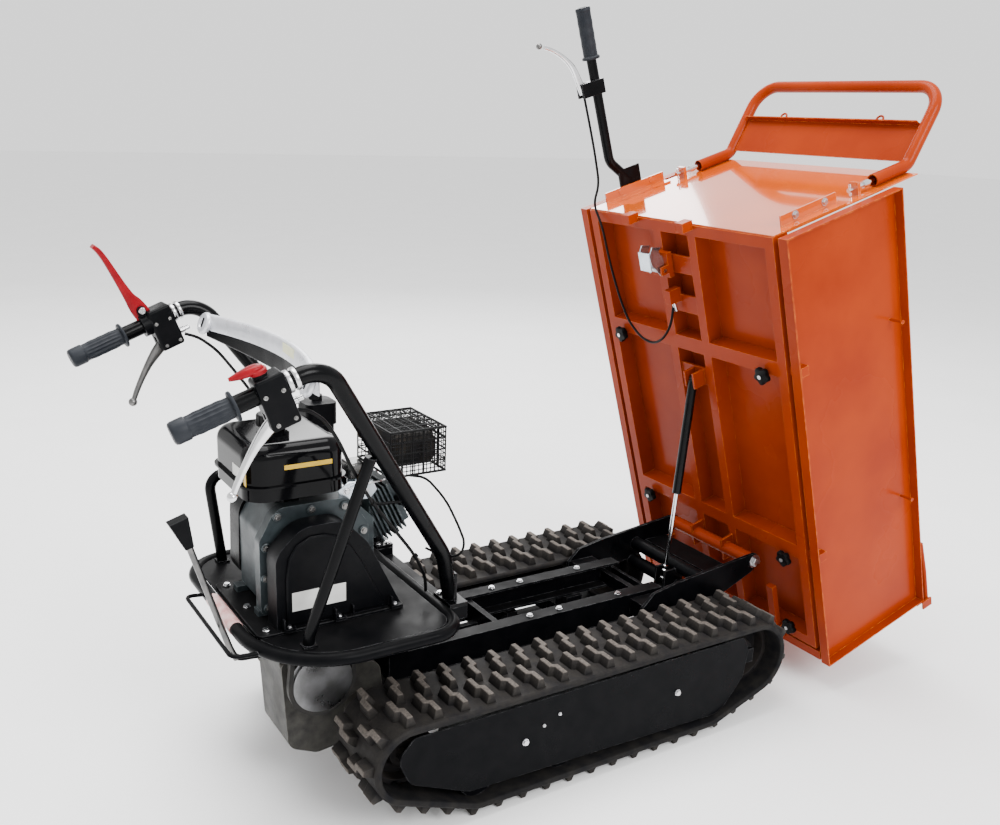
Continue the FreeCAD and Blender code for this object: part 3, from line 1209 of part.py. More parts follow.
# ---------- gas strut ----------
def gas_strut():
    """Gas strut: the rod's eye turns on the chassis pin, the cylinder's eye is at the tray."""
    foot = Vector(d.strut_foot_x, d.strut_y, d.strut_foot_z)
    top = tipped((d.strut_top_x, d.strut_y, d.strut_top_z))
    axis = (top - foot).normalize()
    length = (top - foot).Length
    print("strut length %.1f, axis %.4f %.4f %.4f, foot %s, top %s"
          % (length, axis.x, axis.y, axis.z, tuple(foot), tuple(top)))
    rod_end = foot + axis * (length - 20)
    eye = Part.makeCylinder(9, 10, foot - Y_AXIS * 5, Y_AXIS)
    rod = Part.makeCylinder(d.strut_rod_radius, d.strut_body_length - 8, foot + axis * 6, axis)
    rod = rod.fuse(eye).cut(Part.makeCylinder(5.05, 30, foot - Y_AXIS * 15, Y_AXIS))
    node(feature("strut_rod", rod), "strut_rod")
    start = foot + axis * (length - d.strut_body_length)
    body = Part.makeCylinder(d.strut_radius, d.strut_body_length - 6, start, axis)
    body = body.cut(Part.makeCylinder(d.strut_rod_radius + 0.06, d.strut_body_length - 14, start, axis))
    head = Part.makeCylinder(9, 10, top - Y_AXIS * 5, Y_AXIS)
    body = body.fuse([head, Part.makeCylinder(4.5, 22, top - Y_AXIS * 11, Y_AXIS)])
    node(feature("strut_cylinder", body), "strut_cylinder")


def build():
    for name, side in (("left", 1), ("right", -1)):
        track_belt("track_belt_" + name, side)
        track_wheels(name, side)
    track_frames()
    side_covers()
    chassis_rails()
    pivot_plates()
    gearbox()
    engine_deck()
    engine_base()
    crankcase()
    cylinder_block()
    fuel_tank()
    fan_housing()
    air_cleaner()
    muffler()
    muffler_guard()
    belt_cover()
    pulley("engine_pulley", d.engine_pulley_radius, d.crank_x, d.crank_z, 12.5, -134, 71)
    pulley("gearbox_pulley", d.gearbox_pulley_radius, d.crank_x, d.gearbox_pulley_z, 10, -134, 48)
    drive_belt()
    handle_frame()
    console_panel()
    grips()
    control_housings()
    steering_levers()
    drive_lever()
    throttle_lever()
    gear_lever()
    control_cables()
    fasteners()
    tray_frame()
    tray_floor()
    rear_wall()
    hoop_bar()
    load_guard()
    side_panel("side_panel_left", 1)
    side_panel("side_panel_right", -1)
    front_panel()
    star_knobs()
    latch_hook()
    spring_bolts()
    tip_handle()
    tip_bracket_and_lever()
    tray_cable()
    corner_latches()
    gas_strut()


def check_and_write():
    doc.recompute()
    for obj in doc.Objects:
        if "Invalid" in obj.State or "Error" in obj.State:
            raise RuntimeError("%s is %s" % (obj.Label, obj.State))
    for obj in NODES:
        shape = obj.Shape
        if shape.isNull() or not shape.isValid() or not shape.Solids:
            raise RuntimeError("%s has no valid shape" % obj.Label)
    os.makedirs("parts", exist_ok=True)
    for obj in NODES:
        obj.Shape.exportStep("parts/%s.step" % obj.Label)
    print("%d nodes written" % len(NODES))


build()
check_and_write()
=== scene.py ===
import json
import math

import bmesh
import bpy
from mathutils import Matrix, Vector

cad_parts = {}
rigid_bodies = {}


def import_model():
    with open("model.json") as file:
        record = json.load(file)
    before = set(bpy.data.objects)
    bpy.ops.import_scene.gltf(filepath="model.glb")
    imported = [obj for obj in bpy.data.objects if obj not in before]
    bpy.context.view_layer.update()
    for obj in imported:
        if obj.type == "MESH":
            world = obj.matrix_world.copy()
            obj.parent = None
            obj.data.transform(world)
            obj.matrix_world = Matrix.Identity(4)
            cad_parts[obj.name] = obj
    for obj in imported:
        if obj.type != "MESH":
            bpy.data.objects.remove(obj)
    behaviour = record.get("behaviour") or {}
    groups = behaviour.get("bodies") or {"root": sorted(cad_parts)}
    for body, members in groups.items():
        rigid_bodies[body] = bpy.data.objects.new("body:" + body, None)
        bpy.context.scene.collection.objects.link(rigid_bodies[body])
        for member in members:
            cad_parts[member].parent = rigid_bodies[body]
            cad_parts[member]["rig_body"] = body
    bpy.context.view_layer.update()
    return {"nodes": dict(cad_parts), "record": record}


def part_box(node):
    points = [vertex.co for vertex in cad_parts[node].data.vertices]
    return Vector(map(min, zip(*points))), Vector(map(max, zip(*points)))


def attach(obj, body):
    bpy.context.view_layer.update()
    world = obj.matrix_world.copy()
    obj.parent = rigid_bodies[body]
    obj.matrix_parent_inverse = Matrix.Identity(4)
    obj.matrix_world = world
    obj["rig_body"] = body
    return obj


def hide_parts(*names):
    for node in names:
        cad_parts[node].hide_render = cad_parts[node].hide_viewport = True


# Looks of the tracked mini dumper. Metres, in the CAD frame: +X forward, +Y left, +Z up.

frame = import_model()
NODES = frame["nodes"]
SLOT_OF = {part["node"]: part["material_slot"] for part in frame["record"]["subparts"]}
X, Y, Z = Vector((1, 0, 0)), Vector((0, 1, 0)), Vector((0, 0, 1))
# Pieces are drawn in the part's own coordinates. The corner of the engine base plate, known in
# those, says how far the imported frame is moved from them.
BASE_CORNER = Vector((-0.696, -0.160, 0.3991))
ORIGIN = Matrix.Translation(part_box("engine_base")[0] - BASE_CORNER)


# ---------- materials ----------
def map_range(tree, value, low, high, to_low, to_high):
    node = tree.nodes.new("ShaderNodeMapRange")
    tree.links.new(value, node.inputs["Value"])
    node.inputs["From Min"].default_value = low
    node.inputs["From Max"].default_value = high
    node.inputs["To Min"].default_value = to_low
    node.inputs["To Max"].default_value = to_high
    return node.outputs["Result"]


def noise(tree, coords, scale, detail=5.0, stretch=None):
    if stretch:
        mapping = tree.nodes.new("ShaderNodeMapping")
        mapping.inputs["Scale"].default_value = stretch
        tree.links.new(coords, mapping.inputs["Vector"])
        coords = mapping.outputs["Vector"]
    node = tree.nodes.new("ShaderNodeTexNoise")
    node.inputs["Scale"].default_value = scale
    node.inputs["Detail"].default_value = detail
    tree.links.new(coords, node.inputs["Vector"])
    return node.outputs["Fac"]


def math_node(tree, operation, first, second):
    node = tree.nodes.new("ShaderNodeMath")
    node.operation = operation
    for socket, value in zip(node.inputs, (first, second)):
        if isinstance(value, float):
            socket.default_value = value
        else:
            tree.links.new(value, socket)
    return node.outputs["Value"]


def mix(tree, factor, first, second):
    """Mixes two colours; each is a colour tuple or a socket."""
    node = tree.nodes.new("ShaderNodeMix")
    node.data_type = "RGBA"
    tree.links.new(factor, node.inputs["Factor"])
    for socket, value in ((node.inputs[6], first), (node.inputs[7], second)):
        if isinstance(value, tuple):
            socket.default_value = (*value, 1)
        else:
            tree.links.new(value, socket)
    return node.outputs[2]


def edge_mask(tree, width):
    """Near 1 on edges: where the rounded normal leaves the true one."""
    bevel = tree.nodes.new("ShaderNodeBevel")
    bevel.samples = 4
    bevel.inputs["Radius"].default_value = width
    geometry = tree.nodes.new("ShaderNodeNewGeometry")
    dot = tree.nodes.new("ShaderNodeVectorMath")
    dot.operation = "DOT_PRODUCT"
    tree.links.new(bevel.outputs["Normal"], dot.inputs[0])
    tree.links.new(geometry.outputs["Normal"], dot.inputs[1])
    return map_range(tree, dot.outputs["Value"], 0.99, 0.85, 0, 1)


def material(name, color, shade, roughness, spread=0.12, metallic=0.0, coat=0.0, grain=35.0,
             bump=0.1, bump_scale=500.0, wear_and_highlight=None, wear_and_highlight_width=0.0018, dust=None, dust_amount=0.5,
             attribute=None, stretch=None, specular=0.5):
    """A procedural surface: base colour drifting to `shade`, uneven gloss, fine bump, worn edges
    with a painted highlight, in the given edge colour, and dust lying on faces that look up. `attribute` is
    (name, colour)."""
    mat = bpy.data.materials.new(name)
    mat.use_nodes = True
    tree = mat.node_tree
    shader = tree.nodes["Principled BSDF"]
    coords = tree.nodes.new("ShaderNodeTexCoord").outputs["Object"]
    drift = map_range(tree, noise(tree, coords, grain, 6.0, stretch), 0.35, 0.68, 0, 1)
    tint = mix(tree, drift, color, shade)
    fine = noise(tree, coords, grain * 6, 4.0, stretch)
    gloss = map_range(tree, noise(tree, coords, grain * 0.4, 4.0), 0.3, 0.7,
                      max(0.02, roughness - spread), min(1, roughness + spread))
    if dust:
        geometry = tree.nodes.new("ShaderNodeNewGeometry")
        split = tree.nodes.new("ShaderNodeSeparateXYZ")
        tree.links.new(geometry.outputs["Normal"], split.inputs["Vector"])
        up = map_range(tree, split.outputs["Z"], 0.2, 0.95, 0, dust_amount)
        patches = map_range(tree, noise(tree, coords, 9.0, 8.0), 0.35, 0.7, 0.2, 1)
        layer = math_node(tree, "MULTIPLY", up, patches)
        tint = mix(tree, layer, tint, dust)
        gloss = math_node(tree, "ADD", gloss, math_node(tree, "MULTIPLY", layer, 0.35))
    if attribute:
        source = tree.nodes.new("ShaderNodeAttribute")
        source.attribute_name = attribute[0]
        rough_edge = map_range(tree, fine, 0.3, 0.7, 0.45, 1)
        tint = mix(tree, math_node(tree, "MULTIPLY", source.outputs["Fac"], rough_edge), tint,
                   attribute[1])
    # Edge colour: partly worn paint, partly a painted highlight where the sheet edges catch the light.
    if wear_and_highlight:
        edge_breakup = map_range(tree, noise(tree, coords, 60.0, 6.0), 0.42, 0.6, 0.1, 1)
        tint = mix(tree, math_node(tree, "MULTIPLY", edge_mask(tree, wear_and_highlight_width), edge_breakup), tint, wear_and_highlight)
    tree.links.new(tint, shader.inputs["Base Color"])
    tree.links.new(gloss, shader.inputs["Roughness"])
    shader.inputs["Metallic"].default_value = metallic
    shader.inputs["Coat Weight"].default_value = coat
    shader.inputs["Coat Roughness"].default_value = 0.05
    shader.inputs["Specular IOR Level"].default_value = specular
    relief = tree.nodes.new("ShaderNodeBump")
    relief.inputs["Strength"].default_value = bump
    relief.inputs["Distance"].default_value = 0.0006
    tree.links.new(noise(tree, coords, bump_scale, 3.0, stretch), relief.inputs["Height"])
    tree.links.new(relief.outputs["Normal"], shader.inputs["Normal"])
    return mat


MUD = (0.12, 0.10, 0.08)
PAINT = dict(bump=0.12, bump_scale=900)
# The edge colours in these looks are lighter than their paints: worn paint together with a painted highlight
# along the edges.
LOOKS = {
    "track_rubber": dict(color=(0.006, 0.006, 0.007), shade=(0.014, 0.013, 0.012), roughness=0.6, bump=0.35,
                         bump_scale=700, attribute=("dusty", (0.115, 0.10, 0.088)), specular=0.05),
    "wheel_iron": dict(color=(0.005, 0.005, 0.006), shade=(0.014, 0.012, 0.011), roughness=0.5, dust=MUD,
                       dust_amount=0.2, specular=0.05),
    "frame_black": dict(color=(0.0010, 0.0012, 0.0017), shade=(0.0024, 0.0024, 0.003), roughness=0.34,
                        wear_and_highlight=(0.12, 0.12, 0.125), specular=0.04, dust=(0.014, 0.0135, 0.013),
                        dust_amount=0.3, **PAINT),
    "handle_black": dict(color=(0.0009, 0.0011, 0.0014), shade=(0.002, 0.002, 0.0024), roughness=0.24,
                         wear_and_highlight=(0.08, 0.08, 0.085), specular=0.08, **PAINT),
    # The tray's bright orange edge colour paints the light reflected along its sheet edges.
    "tray_orange": dict(color=(0.27, 0.026, 0.0004), shade=(0.22, 0.018, 0.0003), roughness=0.28,
                        spread=0.06, coat=0.03, specular=0.07, bump=0.06, bump_scale=260, grain=7,
                        wear_and_highlight=(0.85, 0.26, 0.05), wear_and_highlight_width=0.0014),
    "orange_gloss": dict(color=(0.56, 0.088, 0.001), shade=(0.48, 0.066, 0.001), roughness=0.10,
                         spread=0.04, coat=1.0, bump=0.03, bump_scale=200, grain=5,
                         wear_and_highlight=(0.9, 0.3, 0.07), wear_and_highlight_width=0.0014),
    "engine_cast": dict(color=(0.032, 0.042, 0.046), shade=(0.016, 0.021, 0.024), roughness=0.38,
                        metallic=0.25, bump=0.5, bump_scale=420, wear_and_highlight=(0.22, 0.25, 0.26), specular=0.3,
                        dust=(0.05, 0.05, 0.047), dust_amount=0.25),
    "gearbox_cast": dict(color=(0.045, 0.043, 0.038), shade=(0.018, 0.017, 0.016), roughness=0.55,
                         metallic=0.25, bump=0.7, bump_scale=300, dust=MUD, dust_amount=0.3,
                         wear_and_highlight=(0.2, 0.19, 0.17), specular=0.25),
    "tank_black": dict(color=(0.0012, 0.0012, 0.0015), shade=(0.0025, 0.0025, 0.003), roughness=0.10,
                       spread=0.04, specular=0.09, bump=0.02, bump_scale=200, grain=12),
    "cap_black": dict(color=(0.004, 0.004, 0.0045), shade=(0.008, 0.008, 0.008), roughness=0.4,
                      specular=0.12),
    "cowl_black": dict(color=(0.0014, 0.0015, 0.0019), shade=(0.003, 0.003, 0.0034), roughness=0.33,
                       wear_and_highlight=(0.08, 0.08, 0.08), dust=(0.010, 0.010, 0.0095), dust_amount=0.25,
                       specular=0.05),
    "plastic_black": dict(color=(0.0014, 0.0016, 0.0022), shade=(0.003, 0.003, 0.0036), roughness=0.36,
                          bump=0.3, bump_scale=1400, wear_and_highlight=(0.05, 0.05, 0.055), specular=0.06),
    "muffler_steel": dict(color=(0.010, 0.010, 0.011), shade=(0.022, 0.018, 0.015), roughness=0.5,
                          metallic=0.3, bump=0.3, bump_scale=500, wear_and_highlight=(0.14, 0.12, 0.1),
                          specular=0.1),
    "guard_wire": dict(color=(0.003, 0.003, 0.0035), shade=(0.006, 0.006, 0.006), roughness=0.38,
                       specular=0.07),
    "pulley_steel": dict(color=(0.3, 0.3, 0.31), shade=(0.2, 0.2, 0.2), roughness=0.35, metallic=1.0,
                         stretch=(1, 12, 1)),
    "belt_rubber": dict(color=(0.01, 0.01, 0.01), shade=(0.02, 0.018, 0.016), roughness=0.7, bump=0.5,
                        bump_scale=900, specular=0.25),
    "grip_rubber": dict(color=(0.008, 0.010, 0.014), shade=(0.013, 0.015, 0.019), roughness=0.46,
                        bump=0.25, bump_scale=1300, dust=(0.035, 0.038, 0.045), dust_amount=0.4,
                        specular=0.16),
    "console_silver": dict(color=(0.68, 0.69, 0.73), shade=(0.56, 0.57, 0.61), roughness=0.3,
                           metallic=0.35, bump=0.08, bump_scale=900, wear_and_highlight=(0.75, 0.75, 0.76)),
    "lever_steel": dict(color=(0.80, 0.80, 0.81), shade=(0.64, 0.64, 0.65), roughness=0.16,
                        metallic=1.0, bump=0.05, bump_scale=600),
    "gunmetal": dict(color=(0.17, 0.165, 0.16), shade=(0.10, 0.10, 0.10), roughness=0.3, metallic=0.9,
                     bump=0.1, bump_scale=700, wear_and_highlight=(0.5, 0.49, 0.47)),
    "lever_red": dict(color=(0.25, 0.004, 0.010), shade=(0.17, 0.003, 0.007), roughness=0.28,
                      spread=0.08, specular=0.1, bump=0.1, bump_scale=800, wear_and_highlight=(0.6, 0.12, 0.12)),
    "cable_black": dict(color=(0.002, 0.002, 0.0025), shade=(0.005, 0.005, 0.005), roughness=0.4,
                        specular=0.08),
    "bolt_zinc": dict(color=(0.66, 0.66, 0.68), shade=(0.46, 0.46, 0.46), roughness=0.26, metallic=1.0,
                      bump=0.15, bump_scale=900),
    "knob_black": dict(color=(0.0018, 0.0018, 0.002), shade=(0.0035, 0.0035, 0.004), roughness=0.42,
                       bump=0.25, bump_scale=1200, specular=0.07),
    "latch_zinc": dict(color=(0.60, 0.66, 0.72), shade=(0.48, 0.52, 0.56), roughness=0.25,
                       metallic=0.95, bump=0.15, bump_scale=500),
    "strut_black": dict(color=(0.0018, 0.0018, 0.002), shade=(0.0035, 0.0035, 0.004), roughness=0.26,
                        wear_and_highlight=(0.08, 0.08, 0.08), specular=0.1),
    "strut_chrome": dict(color=(0.72, 0.72, 0.74), shade=(0.6, 0.6, 0.62), roughness=0.1, metallic=1.0,
                         bump=0.02, spread=0.04),
    "label_white": dict(color=(0.62, 0.62, 0.60), shade=(0.52, 0.52, 0.50), roughness=0.45, bump=0.05),
    "label_yellow": dict(color=(0.55, 0.34, 0.01), shade=(0.45, 0.27, 0.01), roughness=0.45, bump=0.05),
    "label_pale": dict(color=(0.74, 0.74, 0.48), shade=(0.68, 0.68, 0.44), roughness=0.5, bump=0.05),
    "sleeve": dict(color=(0.72, 0.50, 0.48), shade=(0.55, 0.25, 0.24), roughness=0.45, grain=60),
    "floor": dict(color=(0.93, 0.93, 0.93), shade=(0.91, 0.91, 0.91), roughness=0.85, grain=3,
                  bump=0.02, bump_scale=80, specular=0.1),
}
MATERIALS = {name: material(name, **look) for name, look in LOOKS.items()}


# ---------- helpers: pieces and meshes ----------
def paint(obj, name):
    obj.data.materials.clear()
    obj.data.materials.append(MATERIALS[name])


def add(obj, body, slot, stands_for=(), look=None):
    """Gives a piece its finish and its body, and hides the CAD nodes it stands for."""
    paint(obj, look or slot)
    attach(obj, body)
    if stands_for:
        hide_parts(*stands_for)
    return obj


def new_object(name, data, shifted=False):
    """Links an object; a mesh or curve drawn about the tracks' middle is moved to the frame."""
    if not shifted and hasattr(data, "transform"):
        data.transform(ORIGIN)
    obj = bpy.data.objects.new(name, data)
    bpy.context.scene.collection.objects.link(obj)
    return obj


def from_bmesh(name, mesh_data, smooth_angle=35, shifted=False):
    """Links a bmesh as an object, smooth except along edges sharper than the angle."""
    limit = math.radians(smooth_angle)
    bmesh.ops.recalc_face_normals(mesh_data, faces=mesh_data.faces)
    for face in mesh_data.faces:
        face.smooth = True
    for edge in mesh_data.edges:
        edge.smooth = not edge.is_manifold or edge.calc_face_angle(0) < limit
    mesh = bpy.data.meshes.new(name)
    mesh_data.to_mesh(mesh)
    mesh_data.free()
    return new_object(name, mesh, shifted)


def bevel(obj, width, segments=2, angle=30):
    modifier = obj.modifiers.new("edge", "BEVEL")
    modifier.width = width
    modifier.segments = segments
    modifier.limit_method = "ANGLE"
    modifier.angle_limit = math.radians(angle)
    modifier.harden_normals = False
    return obj


def dressed(node, width=0.001, look=None, segments=2):
    """The CAD node's own shape with its edges rounded off, standing for the node."""
    mesh_data = bmesh.new()
    mesh_data.from_mesh(NODES[node].data)
    bmesh.ops.remove_doubles(mesh_data, verts=mesh_data.verts, dist=1e-6)
    bmesh.ops.dissolve_limit(mesh_data, angle_limit=math.radians(0.5), verts=mesh_data.verts,
                             edges=mesh_data.edges)
    obj = from_bmesh(node + "_piece", mesh_data, 32, True)
    if width:
        bevel(obj, width, segments)
    return add(obj, NODES[node]["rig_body"], SLOT_OF[node], [node], look)


def smooth_node(node, look=None):
    """A CAD node that keeps its mesh: only its shading and finish are set."""
    obj = NODES[node]
    paint(obj, look or SLOT_OF[node])
    for polygon in obj.data.polygons:
        polygon.use_smooth = True
    obj.data.set_sharp_from_angle(angle=math.radians(32))
    return obj


def lathe(name, profile, at, axis, steps=40):
    """A turned piece: (radius, distance along the axis) points from end to end."""
    mesh_data = bmesh.new()
    turn = axis.to_track_quat("Z", "Y").to_matrix()
    rings = []
    for radius, height in profile:
        if radius < 1e-6:
            rings.append([mesh_data.verts.new(at + turn @ Vector((0, 0, height)))])
            continue
        ring = []
        for i in range(steps):
            angle = 2 * math.pi * i / steps
            spot = Vector((radius * math.cos(angle), radius * math.sin(angle), height))
            ring.append(mesh_data.verts.new(at + turn @ spot))
        rings.append(ring)
    join_rings(mesh_data, rings)
    return from_bmesh(name, mesh_data)


def join_rings(mesh_data, rings):
    """Skins a row of rings, closes the ends, and allows a single point as an end."""
    for first, second in zip(rings, rings[1:]):
        count = max(len(first), len(second))
        for i in range(count):
            k = (i + 1) % count
            if len(first) == 1:
                mesh_data.faces.new((first[0], second[i], second[k]))
            elif len(second) == 1:
                mesh_data.faces.new((first[i], first[k], second[0]))
            else:
                mesh_data.faces.new((first[i], first[k], second[k], second[i]))
    for ring in (rings[0], rings[-1]):
        if len(ring) > 1:
            mesh_data.faces.new(ring)


def sweep(name, sections, side=Y, steps=20, power=2.6):
    """A bar of changing section: (centre, width across `side`, thickness) along its length."""
    mesh_data = bmesh.new()
    centres = [Vector(section[0]) for section in sections]
    rings = []
    for i, (centre, width, thick) in enumerate(sections):
        before, after = centres[max(i - 1, 0)], centres[min(i + 1, len(centres) - 1)]
        along = (after - before).normalized()
        across = (side - along * side.dot(along)).normalized()
        up = along.cross(across)
        ring = []
        for k in range(steps):
            angle = 2 * math.pi * k / steps
            c, s = math.cos(angle), math.sin(angle)
            u = math.copysign(abs(c) ** (2 / power), c) * width / 2
            v = math.copysign(abs(s) ** (2 / power), s) * thick / 2
            ring.append(mesh_data.verts.new(centre + across * u + up * v))
        rings.append(ring)
    join_rings(mesh_data, rings)
    return from_bmesh(name, mesh_data, 40)


def smooth_path(points, count):
    """Points along a Catmull-Rom curve through the given ones (tuples of numbers)."""
    result = []
    spans = len(points) - 1
    for i in range(count + 1):
        t = spans * i / count
        k = min(int(t), spans - 1)
        t -= k
        p0, p1 = points[max(k - 1, 0)], points[k]
        p2, p3 = points[k + 1], points[min(k + 2, spans)]
        result.append([0.5 * (2 * b + (c - a) * t + (2 * a - 5 * b + 4 * c - e) * t * t
                              + (3 * b - a - 3 * c + e) * t ** 3)
                       for a, b, c, e in zip(p0, p1, p2, p3)])
    return result


def swept_curve(name, points, count=24, side=Y, power=2.6):
    """sweep() through (x, y, z, width, thickness) points, smoothed."""
    rows = smooth_path(points, count)
    return sweep(name, [(Vector(row[:3]), row[3], row[4]) for row in rows], side, power=power)


def prism(name, outline, depth, placement, edge=0.002, segments=2):
    """An outline in local X and Z extruded along local Y, with rounded edges."""
    mesh_data = bmesh.new()
    low = [mesh_data.verts.new(placement @ Vector((x, 0, z))) for x, z in outline]
    high = [mesh_data.verts.new(placement @ Vector((x, depth, z))) for x, z in outline]
    mesh_data.faces.new(low)
    mesh_data.faces.new(high)
    count = len(outline)
    for i in range(count):
        k = (i + 1) % count
        mesh_data.faces.new((low[i], low[k], high[k], high[i]))
    obj = from_bmesh(name, mesh_data, 30)
    return bevel(obj, edge, segments) if edge else obj


def slab(name, low, high, edge=0.002, placement=None, segments=2):
    """A block between two corners with rounded edges."""
    (x0, y0, z0), (x1, y1, z1) = low, high
    place = (placement or Matrix.Identity(4)) @ Matrix.Translation((0, y0, 0))
    return prism(name, [(x0, z0), (x1, z0), (x1, z1), (x0, z1)], y1 - y0, place, edge, segments)


def wire(name, points, radius, cyclic=False, smooth=True):
    curve = bpy.data.curves.new(name, "CURVE")
    curve.dimensions = "3D"
    curve.bevel_depth = radius
    curve.bevel_resolution = 4
    curve.resolution_u = 10
    curve.use_fill_caps = True
    spline = curve.splines.new("NURBS" if smooth else "POLY")
    spline.points.add(len(points) - 1)
    for spot, point in zip(spline.points, points):
        spot.co = (*point, 1)
    spline.use_cyclic_u = cyclic
    if smooth:
        spline.order_u = 3
        spline.use_endpoint_u = not cyclic
    return new_object(name, curve)


def bolt(name, at, direction, size, body, look="bolt_zinc"):
    """Washer and chamfered hexagon head, turned as two pieces."""
    r = size
    washer = [(0, 0), (r * 1.35, 0), (r * 1.35, r * 0.18), (r * 1.0, r * 0.2)]
    head = [(r * 0.98, r * 0.22), (r * 0.98, r * 0.72), (r * 0.84, r * 0.84), (0, r * 0.86)]
    disc = lathe(name + "_washer", washer + [(0, r * 0.21)], at, direction, 28)
    cap = lathe(name + "_head", [(0, r * 0.2)] + head, at, direction, 6)
    add(disc, body, "bolt_zinc", look=look)
    add(cap, body, "bolt_zinc", look=look)


# ---------- rubber tracks ----------
GAUGE, BELT_WIDTH, BELT_THICK, LUG_HEIGHT, LUG_COUNT = 0.516, 0.180, 0.014, 0.020, 40
LOOP = [(Vector((-0.313, 0, 0.076)), 0.056), (Vector((0.293, 0, 0.076)), 0.056),
        (Vector((0.420, 0, 0.157)), 0.090), (Vector((-0.466, 0, 0.165)), 0.082)]


def loop_pieces():
    """The loop's arcs and straight runs as (kind, data, length), in travel order."""
    count = len(LOOP)
    normals = []
    for i, (centre, radius) in enumerate(LOOP):
        after, after_radius = LOOP[(i + 1) % count]
        span = after - centre
        along = span.normalized()
        outward = Vector((along.z, 0, -along.x))
        slope = (radius - after_radius) / span.length
        normals.append(along * slope + outward * math.sqrt(1 - slope ** 2))
    pieces = []
    for i, (centre, radius) in enumerate(LOOP):
        arriving, leaving = normals[i - 1], normals[i]
        turn = arriving.angle(leaving)
        pieces.append(("arc", (centre, radius, arriving), turn * radius))
        after, after_radius = LOOP[(i + 1) % count]
        start, end = centre + leaving * radius, after + leaving * after_radius
        pieces.append(("run", (start, end, leaving), (end - start).length))
    return pieces


LOOP_PIECES = loop_pieces()
LOOP_LENGTH = sum(piece[2] for piece in LOOP_PIECES)


def loop_at(distance):
    """Point on the belt's outer face and its outward normal."""
    distance %= LOOP_LENGTH
    for kind, data, length in LOOP_PIECES:
        if distance > length:
            distance -= length
            continue
        if kind == "run":
            start, end, normal = data
            return start.lerp(end, distance / length), normal
        centre, radius, arriving = data
        normal = Matrix.Rotation(-distance / radius, 3, "Y") @ arriving
        return centre + normal * radius, normal
    return loop_at(0)


def track_belt(name, side):
    """Moulded belt with rounded shoulders and two staggered rows of Z-shaped lugs."""
    centre = side * GAUGE / 2
    half = BELT_WIDTH / 2
    mesh_data = bmesh.new()
    dusty = mesh_data.verts.layers.float.new("dusty")
    section = [(half - 0.004, 0, 0.06), (half, -0.004, 0.03), (half, -0.010, 0),
               (half - 0.003, -BELT_THICK, 0), (-half + 0.003, -BELT_THICK, 0), (-half, -0.010, 0),
               (-half, -0.004, 0.03), (-half + 0.004, 0, 0.06), (-0.030, 0, 0.10), (0.030, 0, 0.10)]
    steps = 220
    rings = []
    for i in range(steps):
        point, normal = loop_at(LOOP_LENGTH * i / steps)
        ring = []
        for y, depth, dirt in section:
            vert = mesh_data.verts.new(point + normal * depth + Y * (centre + y))
            vert[dusty] = dirt
            ring.append(vert)
        rings.append(ring)
    for i in range(steps):
        first, second = rings[i], rings[(i + 1) % steps]
        for k in range(len(section)):
            j = (k + 1) % len(section)
            mesh_data.faces.new((first[k], first[j], second[j], second[k]))
    pitch = LOOP_LENGTH / LUG_COUNT
    for i in range(LUG_COUNT):
        for row, phase in ((side, 0.0), (-side, 0.5)):
            add_lug(mesh_data, dusty, (i + phase + 0.25) * pitch, centre, row, side)
    obj = from_bmesh(name + "_rubber", mesh_data, 40)
    bevel(obj, 0.0016, 2, 38)
    add(obj, "chassis", "track_rubber", [name])


def add_lug(mesh_data, dusty, distance, centre, row, side):
    """One tread lug: two blocks side by side, one set back, with sloping flanks."""
    point, normal = loop_at(distance)
    along = Vector((-normal.z, 0, normal.x))
    top = [(0.005, 0.000), (0.036, 0.000), (0.041, -0.010), (0.076, -0.010), (0.076, 0.001),
           (0.047, 0.001), (0.042, 0.011), (0.005, 0.011)]
    foot = [(0.002, -0.005), (0.033, -0.005), (0.038, -0.015), (0.078, -0.015), (0.078, 0.007),
            (0.050, 0.007), (0.045, 0.017), (0.002, 0.017)]
    loops = []
    shoulder = [(y + (b - y) * 0.12, s + (t - s) * 0.12) for (y, s), (b, t) in zip(top, foot)]
    for outline, height, dirt in ((foot, -0.004, 0.03), (foot, 0.001, 0.03),
                                  (shoulder, LUG_HEIGHT * 0.88, 0.22), (top, LUG_HEIGHT, 1.0)):
        ring = []
        for y, s in outline:
            vert = mesh_data.verts.new(point + normal * height + along * s + Y * (centre + row * y))
            vert[dusty] = dirt
            ring.append(vert)
        loops.append(ring)
    join_rings(mesh_data, loops)


for belt_name, belt_side in (("track_belt_left", 1), ("track_belt_right", -1)):
    track_belt(belt_name, belt_side)

for wheel in ("sprocket_left", "sprocket_right", "idler_left", "idler_right"):
    smooth_node(wheel)


# ---------- running gear and chassis ----------
dressed("track_frames", 0.0015)
dressed("side_covers", 0.0012)
dressed("chassis_rails", 0.0012)
dressed("pivot_plates", 0.0012)
dressed("gearbox", 0.004)
dressed("engine_base", 0.001)
dressed("fasteners", 0.0006)
smooth_node("engine_deck")
smooth_node("handle_frame")


def mm(x, y, z):
    return Vector((x, y, z)) / 1000


def rotation_to(direction, hint=Z):
    """Matrix with its X along a direction and its Z as near the hint as it can be."""
    x = direction.normalized()
    y = hint.cross(x).normalized()
    return Matrix((x, y, x.cross(y))).transposed()


def placed(at, turn):
    return Matrix.Translation(at) @ turn.to_4x4()


